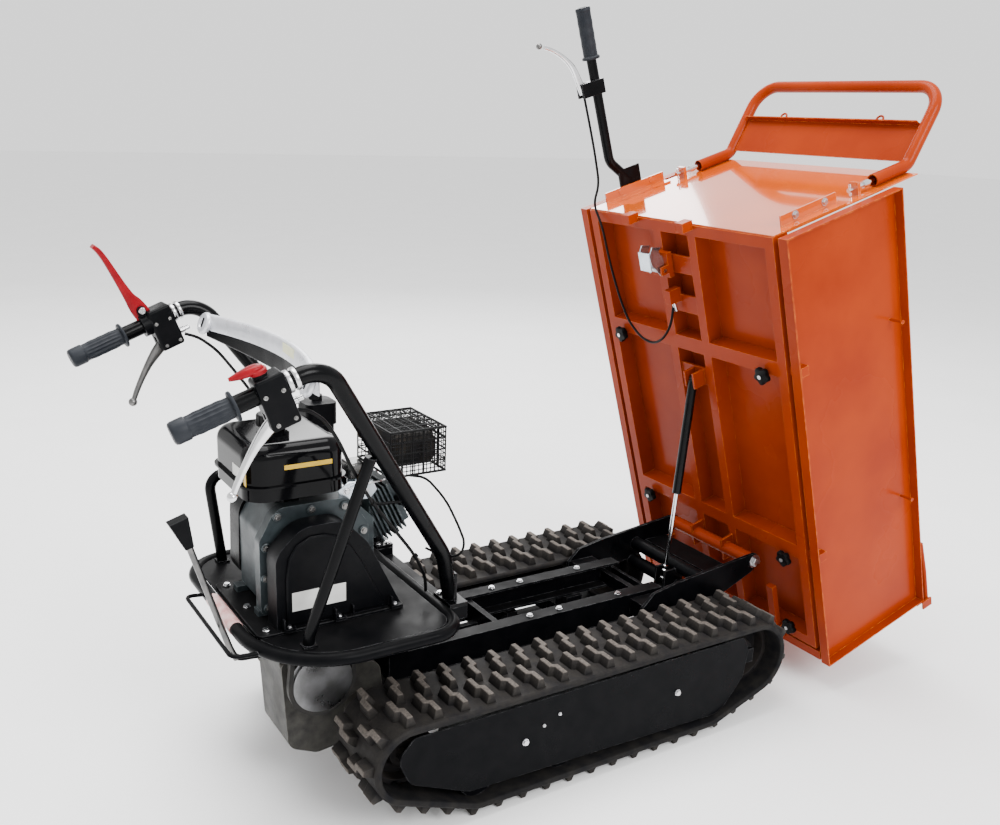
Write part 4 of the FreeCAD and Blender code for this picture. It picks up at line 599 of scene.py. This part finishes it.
# pivot bolts outside the pivot plates, and the strut's fittings
PIVOT = mm(581, 0, 300)
STRUT_FOOT, STRUT_TOP = mm(414, -15, 232), mm(452.8, -15, 750.2)
STRUT_AXIS = (STRUT_TOP - STRUT_FOOT).normalized()
for pivot_side in (1, -1):
    outward = Y * pivot_side
    bolt("pivot_bolt_%s" % ("left" if pivot_side > 0 else "right"),
         PIVOT + outward * 0.1545, outward, 0.013, "chassis")
for end_name, at, body_name in (("low", STRUT_FOOT, "strut_rod"), ("top", STRUT_TOP, "strut_cylinder")):
    direction = STRUT_AXIS if end_name == "low" else -STRUT_AXIS
    neck = lathe("strut_socket_" + end_name,
                 [(0.004, 0.006), (0.0085, 0.008), (0.0085, 0.024), (0.0065, 0.026), (0.0065, 0.036),
                  (0.004, 0.038)], at, direction, 24)
    add(neck, body_name, "strut_chrome")
dressed("strut_rod", 0.0004, "strut_chrome")
dressed("strut_cylinder", 0.0012)


# ---------- engine deck ----------
def deck_sleeve():
    """Pale sleeve pushed over the rear of the deck's rim tube."""
    points = [mm(-712, y, 391) for y in (-80, -40, 0, 30, 62)]
    add(wire("deck_sleeve", points, 0.0142), "chassis", "frame_black", look="sleeve")


deck_sleeve()


# ---------- engine ----------
dressed("crankcase", 0.003)
dressed("cylinder", 0.0008)
smooth_node("fuel_tank")
smooth_node("fuel_cap")
dressed("fan_housing", 0.004)
smooth_node("starter_grip")
dressed("air_cleaner", 0.003)
smooth_node("muffler")
smooth_node("engine_pulley")
smooth_node("gearbox_pulley")
smooth_node("drive_belt")


def crankcase_details():
    """Ribs, bolt bosses and cover bolts of the crankcase's right face."""
    face_y = -0.0862
    outline = ((-650, 424), (-556, 420), (-474, 424), (-452, 480), (-452, 548), (-492, 606),
               (-560, 610), (-628, 606), (-652, 548), (-654, 486))
    for i, (x, z) in enumerate(outline):
        boss = lathe("cover_boss_%d" % i, [(0.009, 0), (0.009, 0.004), (0.0075, 0.005), (0, 0.005)],
                     mm(x, 0, z) + Y * face_y, -Y, 20)
        add(boss, "chassis", "engine_cast")
        bolt("cover_bolt_%d" % i, mm(x, 0, z) + Y * (face_y - 0.005), -Y, 0.0048, "chassis", "gunmetal")
    for i, angle in enumerate((20, 75, 130, 185, 240, 310)):
        c, s = math.cos(math.radians(angle)), math.sin(math.radians(angle))
        inner = mm(-556 + 36 * c, 0, 512 + 36 * s)
        outer = mm(-556 + 78 * c, 0, 512 + 78 * s)
        rib = slab("cover_rib_%d" % i, (0, 0, -0.0025), ((outer - inner).length, 0.006, 0.0025), 0.0012,
                   placed(inner + Y * (face_y - 0.006), rotation_to(outer - inner, Z if abs(s) < 0.9 else X)))
        add(rib, "chassis", "engine_cast")


crankcase_details()


def cylinder_frame():
    """Placement of the cylinder: X along its tilted axis."""
    tilt = math.radians(25)
    along = Vector((math.cos(tilt), 0, math.sin(tilt)))
    up = Vector((-math.sin(tilt), 0, math.cos(tilt)))
    turn = Matrix((along, Y, up)).transposed()
    return placed(mm(-425, 2, 545), turn)


def cylinder_details():
    """Head bolts, the rocker cover, the spark plug and its lead."""
    place = cylinder_frame()
    cover = slab("rocker_cover", (0.0835, -0.034, -0.030), (0.101, 0.034, 0.032), 0.006, place, 3)
    add(cover, "chassis", "engine_cast")
    for i, (y, z) in enumerate(((-0.04, -0.038), (0.04, -0.038), (-0.04, 0.038), (0.04, 0.038))):
        bolt("head_bolt_%d" % i, place @ Vector((0.0836, y, z)), place.to_3x3() @ X, 0.006, "chassis")
    base = place @ Vector((0.077, -0.048, 0.010))
    plug = lathe("spark_plug_boot", [(0, 0), (0.0075, 0), (0.0075, 0.004), (0.009, 0.006), (0.009, 0.022),
                                     (0.0065, 0.026), (0.0065, 0.034), (0, 0.035)], base, -Y, 20)
    add(plug, "chassis", "plastic_black")
    tip = base - Y * 0.034
    lead = wire("spark_lead", [tip, tip + mm(0, -14, 4), tip + mm(-24, -16, 12), tip + mm(-70, -8, 10),
                               mm(-420, -66, 600), mm(-452, -40, 622)], 0.0032)
    add(lead, "chassis", "cable_black")


cylinder_details()


def carburettor():
    """Carburettor block, its bowl, the linkage and a zinc bracket beside the cylinder."""
    body = slab("carburettor_body", (-0.438, 0.010, 0.618), (-0.392, 0.056, 0.652), 0.004)
    add(body, "chassis", "engine_cast", look="gunmetal")
    bowl = lathe("carburettor_bowl", [(0, 0), (0.014, 0.002), (0.017, 0.006), (0.017, 0.024), (0.019, 0.026),
                                      (0.019, 0.031), (0, 0.031)], mm(-412, 38, 590), Z, 28)
    add(bowl, "chassis", "bolt_zinc", look="latch_zinc")
    bracket = prism("governor_bracket", [(-0.494, 0.612), (-0.430, 0.604), (-0.414, 0.622), (-0.424, 0.644),
                                         (-0.476, 0.646), (-0.498, 0.632)], 0.003,
                    placed(mm(0, -72, 0), Matrix.Identity(3)), 0.0012)
    add(bracket, "chassis", "latch_zinc")
    for i, (x, z) in enumerate(((-480, 628), (-440, 622))):
        bolt("bracket_bolt_%d" % i, mm(x, -72.2, z), -Y, 0.0055, "chassis")
    path = [mm(-470, -80, 634), mm(-440, -82, 642), mm(-404, -76, 640), mm(-388, -50, 632)]
    arm = wire("governor_rod", path, 0.0018)
    add(arm, "chassis", "bolt_zinc")


carburettor()


def muffler_details():
    """Dense woven guard and punched louvres on the can."""
    low, high = mm(-405, -112, 656), mm(-284, 40, 746)
    curve = bpy.data.curves.new("guard_mesh", "CURVE")
    curve.dimensions = "3D"
    curve.bevel_depth = 0.0011
    curve.bevel_resolution = 2

    def strand(*points):
        spline = curve.splines.new("POLY")
        spline.points.add(len(points) - 1)
        for spot, point in zip(spline.points, points):
            spot.co = (*point, 1)

    step = 0.0088
    for k in range(1, int((high.x - low.x) / step)):
        x = low.x + k * step
        strand((x, low.y, low.z), (x, low.y, high.z), (x, high.y, high.z), (x, high.y, low.z))
    for k in range(1, int((high.y - low.y) / step)):
        y = low.y + k * step
        strand((high.x, y, low.z), (high.x, y, high.z), (low.x, y, high.z))
    for k in range(1, int((high.z - low.z) / step)):
        z = low.z + k * step
        strand((low.x, low.y, z), (high.x, low.y, z), (high.x, high.y, z), (low.x, high.y, z))
    add(new_object("guard_mesh", curve), "chassis", "guard_wire")
    lip = [(0, 0), (0.0042, 0.001), (0.0015, 0.0065), (0, 0.0075)]
    for i in range(6):
        z = 676 + i * 10
        louvre = prism("muffler_louvre_%d" % i, lip, 0.088,
                       placed(mm(-299.6, -80, z), Matrix.Identity(3)), 0.0006)
        add(louvre, "chassis", "muffler_steel")


muffler_details()
smooth_node("muffler_guard")
dressed("belt_cover", 0.003)


def belt_cover_details():
    """Raised inner panel with its blank label and foot ribs on the belt cover's face."""
    outline = [(-0.638, 0.412), (-0.436, 0.412), (-0.486, 0.516), (-0.508, 0.552), (-0.534, 0.574),
               (-0.560, 0.583), (-0.590, 0.583), (-0.616, 0.570), (-0.632, 0.546), (-0.638, 0.510)]
    raised = prism("belt_cover_panel", outline, 0.006, placed(mm(0, -156, 0), Matrix.Identity(3)), 0.003, 3)
    add(raised, "chassis", "cowl_black", look="plastic_black")
    label = slab("belt_cover_label", (-0.628, -0.1566, 0.440), (-0.520, -0.1558, 0.478), 0.0003)
    add(label, "chassis", "cowl_black", look="label_white")
    for i, x in enumerate((-0.660, -0.558, -0.522, -0.440)):
        rib = prism("belt_cover_rib_%d" % i, [(0, 0), (0.003, 0), (0.003, 0.020), (0, 0.020)], 0.012,
                    placed(Vector((x + 0.012, -0.167, 0.4106)), Matrix.Identity(3)), 0.0008)
        add(rib, "chassis", "cowl_black", look="plastic_black")


belt_cover_details()


def tank_details():
    """Plain blank bands in place of the tank's printed labels."""
    band = slab("tank_band", (-0.622, -0.1168, 0.706), (-0.528, -0.1160, 0.715), 0.0003)
    add(band, "chassis", "tank_black", look="label_yellow")
    plate = slab("tank_plate", (-0.6908, -0.086, 0.684), (-0.6900, -0.030, 0.706), 0.0003)
    add(plate, "chassis", "tank_black", look="label_white")
    stripe = slab("tank_stripe", (-0.6908, -0.104, 0.680), (-0.6900, -0.092, 0.712), 0.0003)
    add(stripe, "chassis", "tank_black", look="label_yellow")


tank_details()


# ---------- handles and controls ----------
def handle_line(side):
    """Top corner, end and direction of a handle's grip run; the bars sit slightly askew."""
    skew = mm(-13, 0, -6.5)
    top = mm(-632, 330, 948) + skew * (0.3 * side)
    end = mm(-883, 314, 854.5) + skew * side
    top.y, end.y = side * top.y, side * end.y
    return top, end, (end - top).normalized()


def along_grip(x, side):
    top, _, direction = handle_line(side)
    return top + direction * ((x / 1000 - top.x) / direction.x)


def housing_frame(side):
    """Local frame on a handle tube: X forwards along it, Z up."""
    back = -handle_line(side)[2]
    across = Vector((-back.y, back.x, 0)).normalized()
    return placed(along_grip(-718, side), Matrix((back, across, back.cross(across))).transposed())


def hand_grip(side):
    """Rubber grip with a flange, finger waves, lengthwise flutes and a plain end cap."""
    name = "left" if side > 0 else "right"
    _, end, direction = handle_line(side)
    inner = along_grip(-783 - 9 * side, side)
    length = (end - inner).length + 0.003
    turn = direction.to_track_quat("Z", "Y").to_matrix()
    mesh_data = bmesh.new()
    rings = []
    flange = [(0.0, 0.0165), (0.0002, 0.0245), (0.0012, 0.0252), (0.0042, 0.0252), (0.0054, 0.0240)]
    stations = [(distance, radius, 0) for distance, radius in flange]
    body_start, cap_start = 0.0062, length * 0.74
    steps = 60
    for i in range(steps + 1):
        distance = body_start + (cap_start - body_start) * i / steps
        wave = 0.0002 * math.cos(2 * math.pi * 4 * i / steps)
        fade = min(1, 5 * i / steps, 5 * (1 - i / steps))
        stations.append((distance, 0.0172 + wave, 0.0011 * fade))
    stations += [(cap_start + 0.0008, 0.0186, 0), (cap_start + 0.003, 0.0193, 0), (length - 0.006, 0.0191, 0),
                 (length - 0.002, 0.0178, 0), (length - 0.0004, 0.0150, 0), (length, 0.009, 0)]
    count = 96
    for distance, radius, flute in stations:
        ring = []
        for k in range(count):
            angle = 2 * math.pi * k / count
            r = radius + flute * max(-0.5, math.cos(16 * angle))
            spot = Vector((r * math.cos(angle), r * math.sin(angle), distance))
            ring.append(mesh_data.verts.new(inner + turn @ spot))
        rings.append(ring)
    join_rings(mesh_data, rings)
    obj = from_bmesh("hand_grip_" + name, mesh_data, 50)
    add(obj, "chassis", "grip_rubber", ["grips"])


for grip_side in (1, -1):
    hand_grip(grip_side)

dressed("control_housings", 0.0008)


def console_arc(angle, radius, z):
    """A point on the console's plan arc, which bows forwards between the two handles."""
    half, bow = 0.287, 0.056
    bend = (half ** 2 + bow ** 2) / (2 * bow)
    centre = Vector((-0.622 + bow - bend, 0, z))
    return centre + Vector(((bend + radius) * math.cos(angle), (bend + radius) * math.sin(angle), 0))


def console_band(name, profile, look, steps=48, stands_for=()):
    """A band along the console: profile(share) gives its section at -1 (right) to 1 (left)."""
    mesh_data = bmesh.new()
    rings = []
    reach = 0.3825
    for i in range(steps + 1):
        share = 2 * i / steps - 1
        ring = [mesh_data.verts.new(console_arc(reach * share, r, z)) for r, z in profile(share)]
        rings.append(ring)
    join_rings(mesh_data, rings)
    obj = from_bmesh(name, mesh_data, 50)
    bevel(obj, 0.003, 3, 40)
    return add(obj, "chassis", "console_silver", stands_for, look)


def console_details():
    """Silver wing deeper in its middle, a black band under it as painted shade of its underside, end lugs
    with slots drawn as black plates of painted shade, blank sticker.
    """
    def silver(share):
        low = 0.884 - 0.020 * (1 - share * share)
        return ((0.001, low), (0.001, 0.915), (-0.005, 0.926), (-0.015, 0.927), (-0.0185, 0.917),
                (-0.0185, 0.896), (-0.010, low + 0.004))

    # A black band below the silver wing, standing for its underside in shade: painted shade.
    def painted_shade_band(share):
        low = 0.8800 - 0.022 * (1 - share * share)
        return ((-0.001, low), (-0.001, low + 0.006), (-0.010, 0.894), (-0.0175, 0.894), (-0.0175, low))

    console_band("console_wing", silver, "console_silver", stands_for=["console_panel"])
    console_band("console_under_shade", painted_shade_band, "plastic_black")
    lug_profile = [(0, 0), (0.020, 0), (0.0225, 0.0025), (0.0235, 0.006), (0.0225, 0.0095),
                   (0.020, 0.012), (0.012, 0.0125), (0.0105, 0.0105), (0, 0.0105)]
    for side in (1, -1):
        tag = "left" if side > 0 else "right"
        lug = lathe("console_lug_" + tag, lug_profile, mm(-633, side * 281, 905),
                    Vector((-0.92, -0.10 * side, 0.38)).normalized(), 40)
        add(lug, "chassis", "console_silver")
        # Each slot is a thin black plate on the lug's face: painted shade standing for the opening.
        slot = slab("console_slot_shade_" + tag, (0.0107, -0.003, -0.010), (0.0117, 0.003, 0.010), 0.0003,
                    placed(mm(-633, side * 281, 905),
                           rotation_to(Vector((-0.92, -0.10 * side, 0.38)), Z)))
        add(slot, "chassis", "console_silver", look="plastic_black")
    angle = -0.08
    sticker = slab("console_sticker", (-0.0006, -0.036, -0.009), (0, 0.036, 0.009), 0.0002,
                   placed(console_arc(angle, -0.0188, 0.914), Matrix.Rotation(angle, 3, "Z")))
    add(sticker, "chassis", "console_silver", look="label_pale")


console_details()


def lever_blade(name, place, rows, count, power):
    """Smooth bar through (x, z, width, thickness) rows, in millimetres of its housing's frame."""
    points = [(*(place @ mm(x, 0, z)), width / 1000, thick / 1000) for x, z, width, thick in rows]
    return swept_curve(name, points, count, side=place.to_3x3() @ Y, power=power)


def drive_lever():
    """Bright red lever: broad forked foot, tapering blade, flat tip curving back."""
    place = housing_frame(1)
    rows = [(-26, 16, 9.4, 34), (-30, 33, 9.6, 34), (-34, 50, 10, 30), (-38, 66, 11, 22), (-42, 92, 12, 17),
            (-46, 122, 13, 14), (-50, 150, 14, 12), (-55, 172, 16, 11), (-62, 186, 18, 9)]
    blade = lever_blade("drive_lever_blade", place, rows, 36, 3)
    add(blade, "drive_lever", "lever_red", ["drive_lever"])
    half_pin = [(0, -0.0155), (0.006, -0.0155), (0.007, -0.0135), (0.007, -0.0105), (0.003, -0.01)]
    profile = half_pin + [(radius, -distance) for radius, distance in reversed(half_pin)]
    pin = lathe("drive_lever_pin", profile, place @ mm(-29, 0, 32.5), place.to_3x3() @ Y, 24)
    add(pin, "drive_lever", "bolt_zinc")


drive_lever()


def steering_lever(side):
    """Tapered hand lever with a rounded end, on the cross pin of its housing."""
    name = "steering_lever_" + ("left" if side > 0 else "right")
    place = housing_frame(side)
    rows = [(2, -44, 12, 20), (-14, -50, 12, 24), (-34, -61, 12, 22), (-58, -77, 12, 16),
            (-82, -97, 11, 12.5), (-102, -116, 11, 11), (-116, -131, 10, 10)]
    blade = lever_blade(name + "_blade", place, rows, 26, 2.4)
    # The left lever gets dark gunmetal and the right one bright steel: painted shade on one of two like
    # levers.
    look = "gunmetal" if side > 0 else "lever_steel"
    add(blade, name, "lever_steel", [name], look)
    ball = lathe(name + "_ball", [(0, -0.0085)] + [
        (0.0088 * math.cos(math.radians(a)), 0.0088 * math.sin(math.radians(a))) for a in range(-70, 71, 14)]
        + [(0, 0.0088)], place @ mm(-121, 0, -136), place.to_3x3() @ Z, 28)
    add(ball, name, "lever_steel", look=look)


for lever_side in (1, -1):
    steering_lever(lever_side)


def throttle_lever():
    """Small red thumb throttle with a pointed tip, on its black boss."""
    place = housing_frame(-1)
    disc = lathe("throttle_disc", [(0, 0), (0.0148, 0), (0.0152, 0.0006), (0.0152, 0.0062), (0.0135, 0.0078),
                                   (0.006, 0.008), (0.0055, 0.0095), (0, 0.0097)],
                 place @ mm(-8, 0, 32.4), place.to_3x3() @ Z, 36)
    add(disc, "throttle_lever", "lever_red", ["throttle_lever"])
    rows = [(2, 40, 17, 9), (-10, 41, 24, 14), (-24, 41, 22, 15), (-38, 41, 15, 12), (-54, 42, 6, 6)]
    arm = lever_blade("throttle_arm", place, rows, 16, 2.6)
    add(arm, "throttle_lever", "lever_red")


throttle_lever()


def housing_details():
    """Screws, clamps and cable ferrules on the two control housings."""
    clamp_profile = [(0.0158, 0), (0.0188, 0.0006), (0.0194, 0.002), (0.0194, 0.006), (0.0188, 0.0074),
                     (0.0158, 0.008)]
    ferrule_profile = [(0.0028, 0), (0.0062, 0.0004), (0.0062, 0.010), (0.0048, 0.011),
                       (0.0048, 0.020), (0.0036, 0.0215)]
    for side in (1, -1):
        tag = "left" if side > 0 else "right"
        place = housing_frame(side)
        turn = place.to_3x3()
        for i, x in enumerate((8, 20)):
            saddle = lathe("saddle_clamp_%s_%d" % (tag, i), clamp_profile,
                           place @ mm(x + 18, 0, 0), turn @ X, 40)
            add(saddle, "chassis", "console_silver", look="bolt_zinc")
        for i, (x, z) in enumerate(((-16, -2), (14, -2), (-14, -52), (16, -52))):
            for inner in (1, -1):
                spot = place @ mm(x, 23.1 * inner, z)
                bolt("housing_screw_%s_%d_%s" % (tag, i, "a" if inner > 0 else "b"), spot,
                     turn @ (Y * inner), 0.0027, "chassis", "gunmetal")
        ferrule = lathe("cable_ferrule_" + tag, ferrule_profile,
                        place @ mm(25.2, -12 * side, -38), turn @ X, 20)
        add(ferrule, "chassis", "bolt_zinc")


housing_details()


def gear_lever():
    """Grey rod and black wedge knob of the gear lever."""
    smooth_node("gear_lever", "plastic_black")
    rod = wire("gear_rod", [mm(-712, -75, 325.8), mm(-721, -75, 340), mm(-739, -75, 400), mm(-757, -75, 460),
                            mm(-790, -75, 571)], 0.0063)
    add(rod, "gear_lever", "plastic_black", look="gunmetal")


gear_lever()
smooth_node("control_cables")


def stay_collar():
    """Thick black collar at the top of the left stay and clamps for the cables."""
    base, tip = mm(-664, 221, 592), mm(-424, 236, 628)
    axis = (tip - base).normalized()
    profile = [(0.0112, 0), (0.0165, 0.0008), (0.0175, 0.003), (0.0175, 0.031), (0.0165, 0.033),
               (0.0112, 0.034)]
    collar = lathe("stay_collar", profile, tip - axis * 0.062, axis, 32)
    add(collar, "chassis", "handle_black")
    for i, (x, y, z) in enumerate(((-506, 231, 680), (-506, -251, 668), (-400, 196, 540), (-400, -212, 530))):
        tie = lathe("cable_tie_%d" % i, [(0.0036, 0), (0.0052, 0.0004), (0.0052, 0.0052), (0.0036, 0.0056)],
                    mm(x, y - (5 if y > 0 else -5), z), Vector((0.62, 0, -0.78)), 16)
        add(tie, "chassis", "cable_black")


stay_collar()


# ---------- tray ----------
TIP_ANGLE = math.radians(73.12)
TRAY_X = Vector((math.cos(TIP_ANGLE), 0, -math.sin(TIP_ANGLE)))
TRAY_Z = Vector((math.sin(TIP_ANGLE), 0, math.cos(TIP_ANGLE)))
TRAY = placed(PIVOT, Matrix((TRAY_X, Y, TRAY_Z)).transposed())
TRAY_TURN = TRAY.to_3x3()


def tray(x, y, z):
    """A point given in the tray's own level frame, in millimetres."""
    return TRAY @ mm(x, y, z)


for sheet_node in ("tray_frame", "tray_floor", "load_guard", "side_panel_left", "side_panel_right",
                   "front_panel"):
    dressed(sheet_node, 0.0009)
dressed("rear_wall", 0.0009, "orange_gloss")
smooth_node("hoop_bar")
smooth_node("spring_bolts")
smooth_node("tray_cable")
smooth_node("corner_latch_left")
smooth_node("corner_latch_right")


def star_knob(node, x, y):
    """Lobed clamp knob with a domed cap, a collar and the end of its zinc screw."""
    mesh_data = bmesh.new()
    rings = []
    for radius, z in ((0.6, 1.6), (0.93, 2.2), (1.0, 4.5), (1.0, 12.5), (0.92, 15.2), (0.55, 16)):
        ring = []
        for k in range(80):
            angle = 2 * math.pi * k / 80
            lobe = 18.6 + 2.7 * math.cos(5 * angle)
            r = radius * lobe if radius > 0.7 else radius * 17
            ring.append(mesh_data.verts.new(tray(x + r * math.cos(angle), y + r * math.sin(angle), z)))
        rings.append(ring)
    join_rings(mesh_data, rings)
    add(from_bmesh(node + "_lobes", mesh_data, 45), node, "knob_black", [node])
    neck = lathe(node + "_neck", [(0.0085, -0.001), (0.008, 0.004), (0.008, 0.0065)], tray(x, y, 15.8),
                 TRAY_Z, 28)
    add(neck, node, "knob_black")
    tip = lathe(node + "_screw", [(0, 0.0003), (0.0042, 0.0004), (0.005, 0.0012), (0.005, 0.003), (0, 0.003)],
                tray(x, y, 1.9), -TRAY_Z, 24)
    add(tip, node, "bolt_zinc")


KNOBS = {"knob_rear_left": (-530, 250), "knob_rear_right": (-530, -250), "knob_front_left": (-44, 250),
         "knob_front_right": (-44, -250), "knob_end_left": (165, 240), "knob_end_right": (165, -240)}
for knob, (knob_x, knob_y) in KNOBS.items():
    star_knob(knob, knob_x, knob_y)


def latch_hook():
    """Folded zinc hook: two upturned cheeks with prongs, a bridge between them and its pin."""
    cheek = [(-0.802, -0.022), (-0.794, 0.004), (-0.783, -0.006), (-0.770, 0.006), (-0.734, 0.006),
             (-0.728, -0.008), (-0.746, -0.020), (-0.758, -0.030), (-0.782, -0.034)]
    for tag, y in (("left", 0.065), ("right", 0.028)):
        piece = prism("latch_cheek_" + tag, cheek, 0.003, TRAY @ Matrix.Translation((0, y, 0)), 0.0008)
        add(piece, "latch_hook", "latch_zinc", ["latch_hook"] if tag == "left" else ())
    bridge = slab("latch_bridge", (-0.790, 0.0285, -0.034), (-0.745, 0.0675, -0.0305), 0.001, TRAY)
    add(bridge, "latch_hook", "latch_zinc")
    pin = lathe("latch_pin", [(0, 0), (0.0045, 0), (0.0045, 0.064), (0, 0.064)], tray(-740, 16, -2), Y, 24)
    add(pin, "latch_hook", "latch_zinc", look="bolt_zinc")


latch_hook()


def latch_details():
    """Return spring and cable nipple of the tray latch."""
    turns, coil = 9, 7.2
    points = []
    for i in range(turns * 14 + 1):
        angle = 2 * math.pi * i / 14
        points.append(tray(-740 + coil * math.cos(angle), 34 + 22 * i / (turns * 14),
                           -2 + coil * math.sin(angle)))
    add(wire("latch_spring", points, 0.0011), "tray", "latch_zinc", look="bolt_zinc")
    nipple = lathe("cable_nipple", [(0.003, 0), (0.0055, 0.0004), (0.0055, 0.012), (0.0044, 0.013),
                                    (0.0044, 0.022), (0.003, 0.023)],
                   tray(-655, 22, 12), TRAY_TURN @ Vector((0.97, 0, 0.2)), 20)
    add(nipple, "tray", "bolt_zinc")


latch_details()


def tip_handle():
    """Painted tube, rubber grip, and bolts of the plate and of the clamp."""
    dressed("tip_handle", 0.0012, "handle_black")
    length = 0.118
    stations = []
    for i in range(61):
        t = i / 60
        fade = min(1, 6 * t, 6 * (1 - t))
        stations.append((length * (0.07 + 0.86 * t), 0.0174 + 0.0003 * math.cos(8 * math.pi * t) * fade))
    profile = [(0.0165, 0.0002), (0.0212, 0.0004), (0.0216, 0.0012), (0.0216, 0.0052), (0.0205, 0.0064)]
    profile += [(radius, distance) for distance, radius in stations]
    profile += [(0.0182, 0.1105), (0.0182, 0.1150), (0.0165, 0.1180), (0.010, 0.1188), (0, 0.1188)]
    grip = lathe("tip_grip", profile, tray(-1196, 318, 109), -TRAY_X, 48)
    add(grip, "tray", "grip_rubber")
    for i, (x, z) in enumerate(((-906, 143), (-860, 143), (-906, 185), (-860, 185))):
        bolt("tip_plate_bolt_%d" % i, tray(x, 318.4, z), TRAY_TURN @ Y, 0.0062, "tray")
    for i, z in enumerate((88, 121)):
        bolt("tip_clamp_bolt_%d" % i, tray(-1131, 331.1, z), TRAY_TURN @ Y, 0.004, "tray")


tip_handle()


def tip_lever():
    """Silver brake-type lever below the tip handle's grip."""
    rows = [(6, 3, 12, 20), (-20, -4, 12, 20), (-58, -15, 12, 16), (-86, -35, 12, 12), (-108, -60, 11, 10),
            (-122, -84, 10, 9)]
    points = []
    for x, z, width, thick in rows:
        points.append((*tray(-1131 + x, 318, 66 + z), width / 1000, thick / 1000))
    blade = swept_curve("tip_lever_blade", points, 26, side=Y, power=2.4)
    add(blade, "tip_lever", "lever_steel", ["tip_lever"])
    ball = lathe("tip_lever_ball", [(0.0072 * math.cos(math.radians(a)), 0.0072 * math.sin(math.radians(a)))
                                    for a in range(-90, 91, 15)], tray(-1259, 318, -31), TRAY_Z, 24)
    add(ball, "tip_lever", "lever_steel", look="gunmetal")


tip_lever()


def hoop_details():
    """Washers and bolts on the rear wall's angle brackets."""
    for side in (1, -1):
        tag = "left" if side > 0 else "right"
        z, length = 76, (190 if side > 0 else 165)
        for i, k in enumerate((0.25, 0.78)):
            y = 312.2 if side > 0 else -286.2
            bolt("angle_bolt_%s_%d" % (tag, i), tray(-866, y, z + k * length), TRAY_TURN @ (Y * side), 0.0068,
                 "tray")


hoop_details()


# ---------- stage ----------
def stage():
    bpy.ops.mesh.primitive_plane_add(size=60, location=(0, 0, 0))
    floor = bpy.context.object
    floor.name = "floor"
    paint(floor, "floor")


def soft_light(name, at, target, size, power):
    light = bpy.data.lights.new(name, "AREA")
    light.shape = "DISK"
    light.size = size
    light.energy = power
    obj = new_object(name, light)
    obj.location = at
    obj.rotation_euler = (Vector(target) - Vector(at)).to_track_quat("-Z", "Y").to_euler()


def world_light(strength):
    world = bpy.data.worlds.new("studio")
    bpy.context.scene.world = world
    world.use_nodes = True
    background = world.node_tree.nodes["Background"]
    background.inputs["Color"].default_value = (1, 1, 1, 1)
    background.inputs["Strength"].default_value = strength


def camera():
    """Stands behind and to the right of the machine, above the handles."""
    heading, pitch, roll = math.radians(57.52), math.radians(17.04), math.radians(2.12)
    forward = Vector((math.cos(pitch) * math.cos(heading), math.cos(pitch) * math.sin(heading),
                      -math.sin(pitch)))
    right = Vector((math.sin(heading), -math.cos(heading), 0))
    up = right.cross(forward)
    right, up = (right * math.cos(roll) + up * math.sin(roll), up * math.cos(roll) - right * math.sin(roll))
    data = bpy.data.cameras.new("camera")
    data.lens = 37.97
    data.sensor_width = 36
    data.shift_y = 0.0275
    data.clip_end = 100
    obj = new_object("camera", data)
    obj.matrix_world = ORIGIN @ placed(Vector((-1.2689, -1.8606, 1.3365)),
                                       Matrix((right, up, -forward)).transposed())
    bpy.context.scene.camera = obj


stage()
soft_light("key", (0.6, -4.6, 3.6), (0.1, 0, 0.5), 2.6, 300)
soft_light("top", (-0.4, 0.6, 5.2), (0, 0, 0.5), 4.0, 420)
soft_light("rear", (1.8, 4.2, 3.2), (0, 0, 0.8), 2.6, 120)
world_light(1.45)
camera()
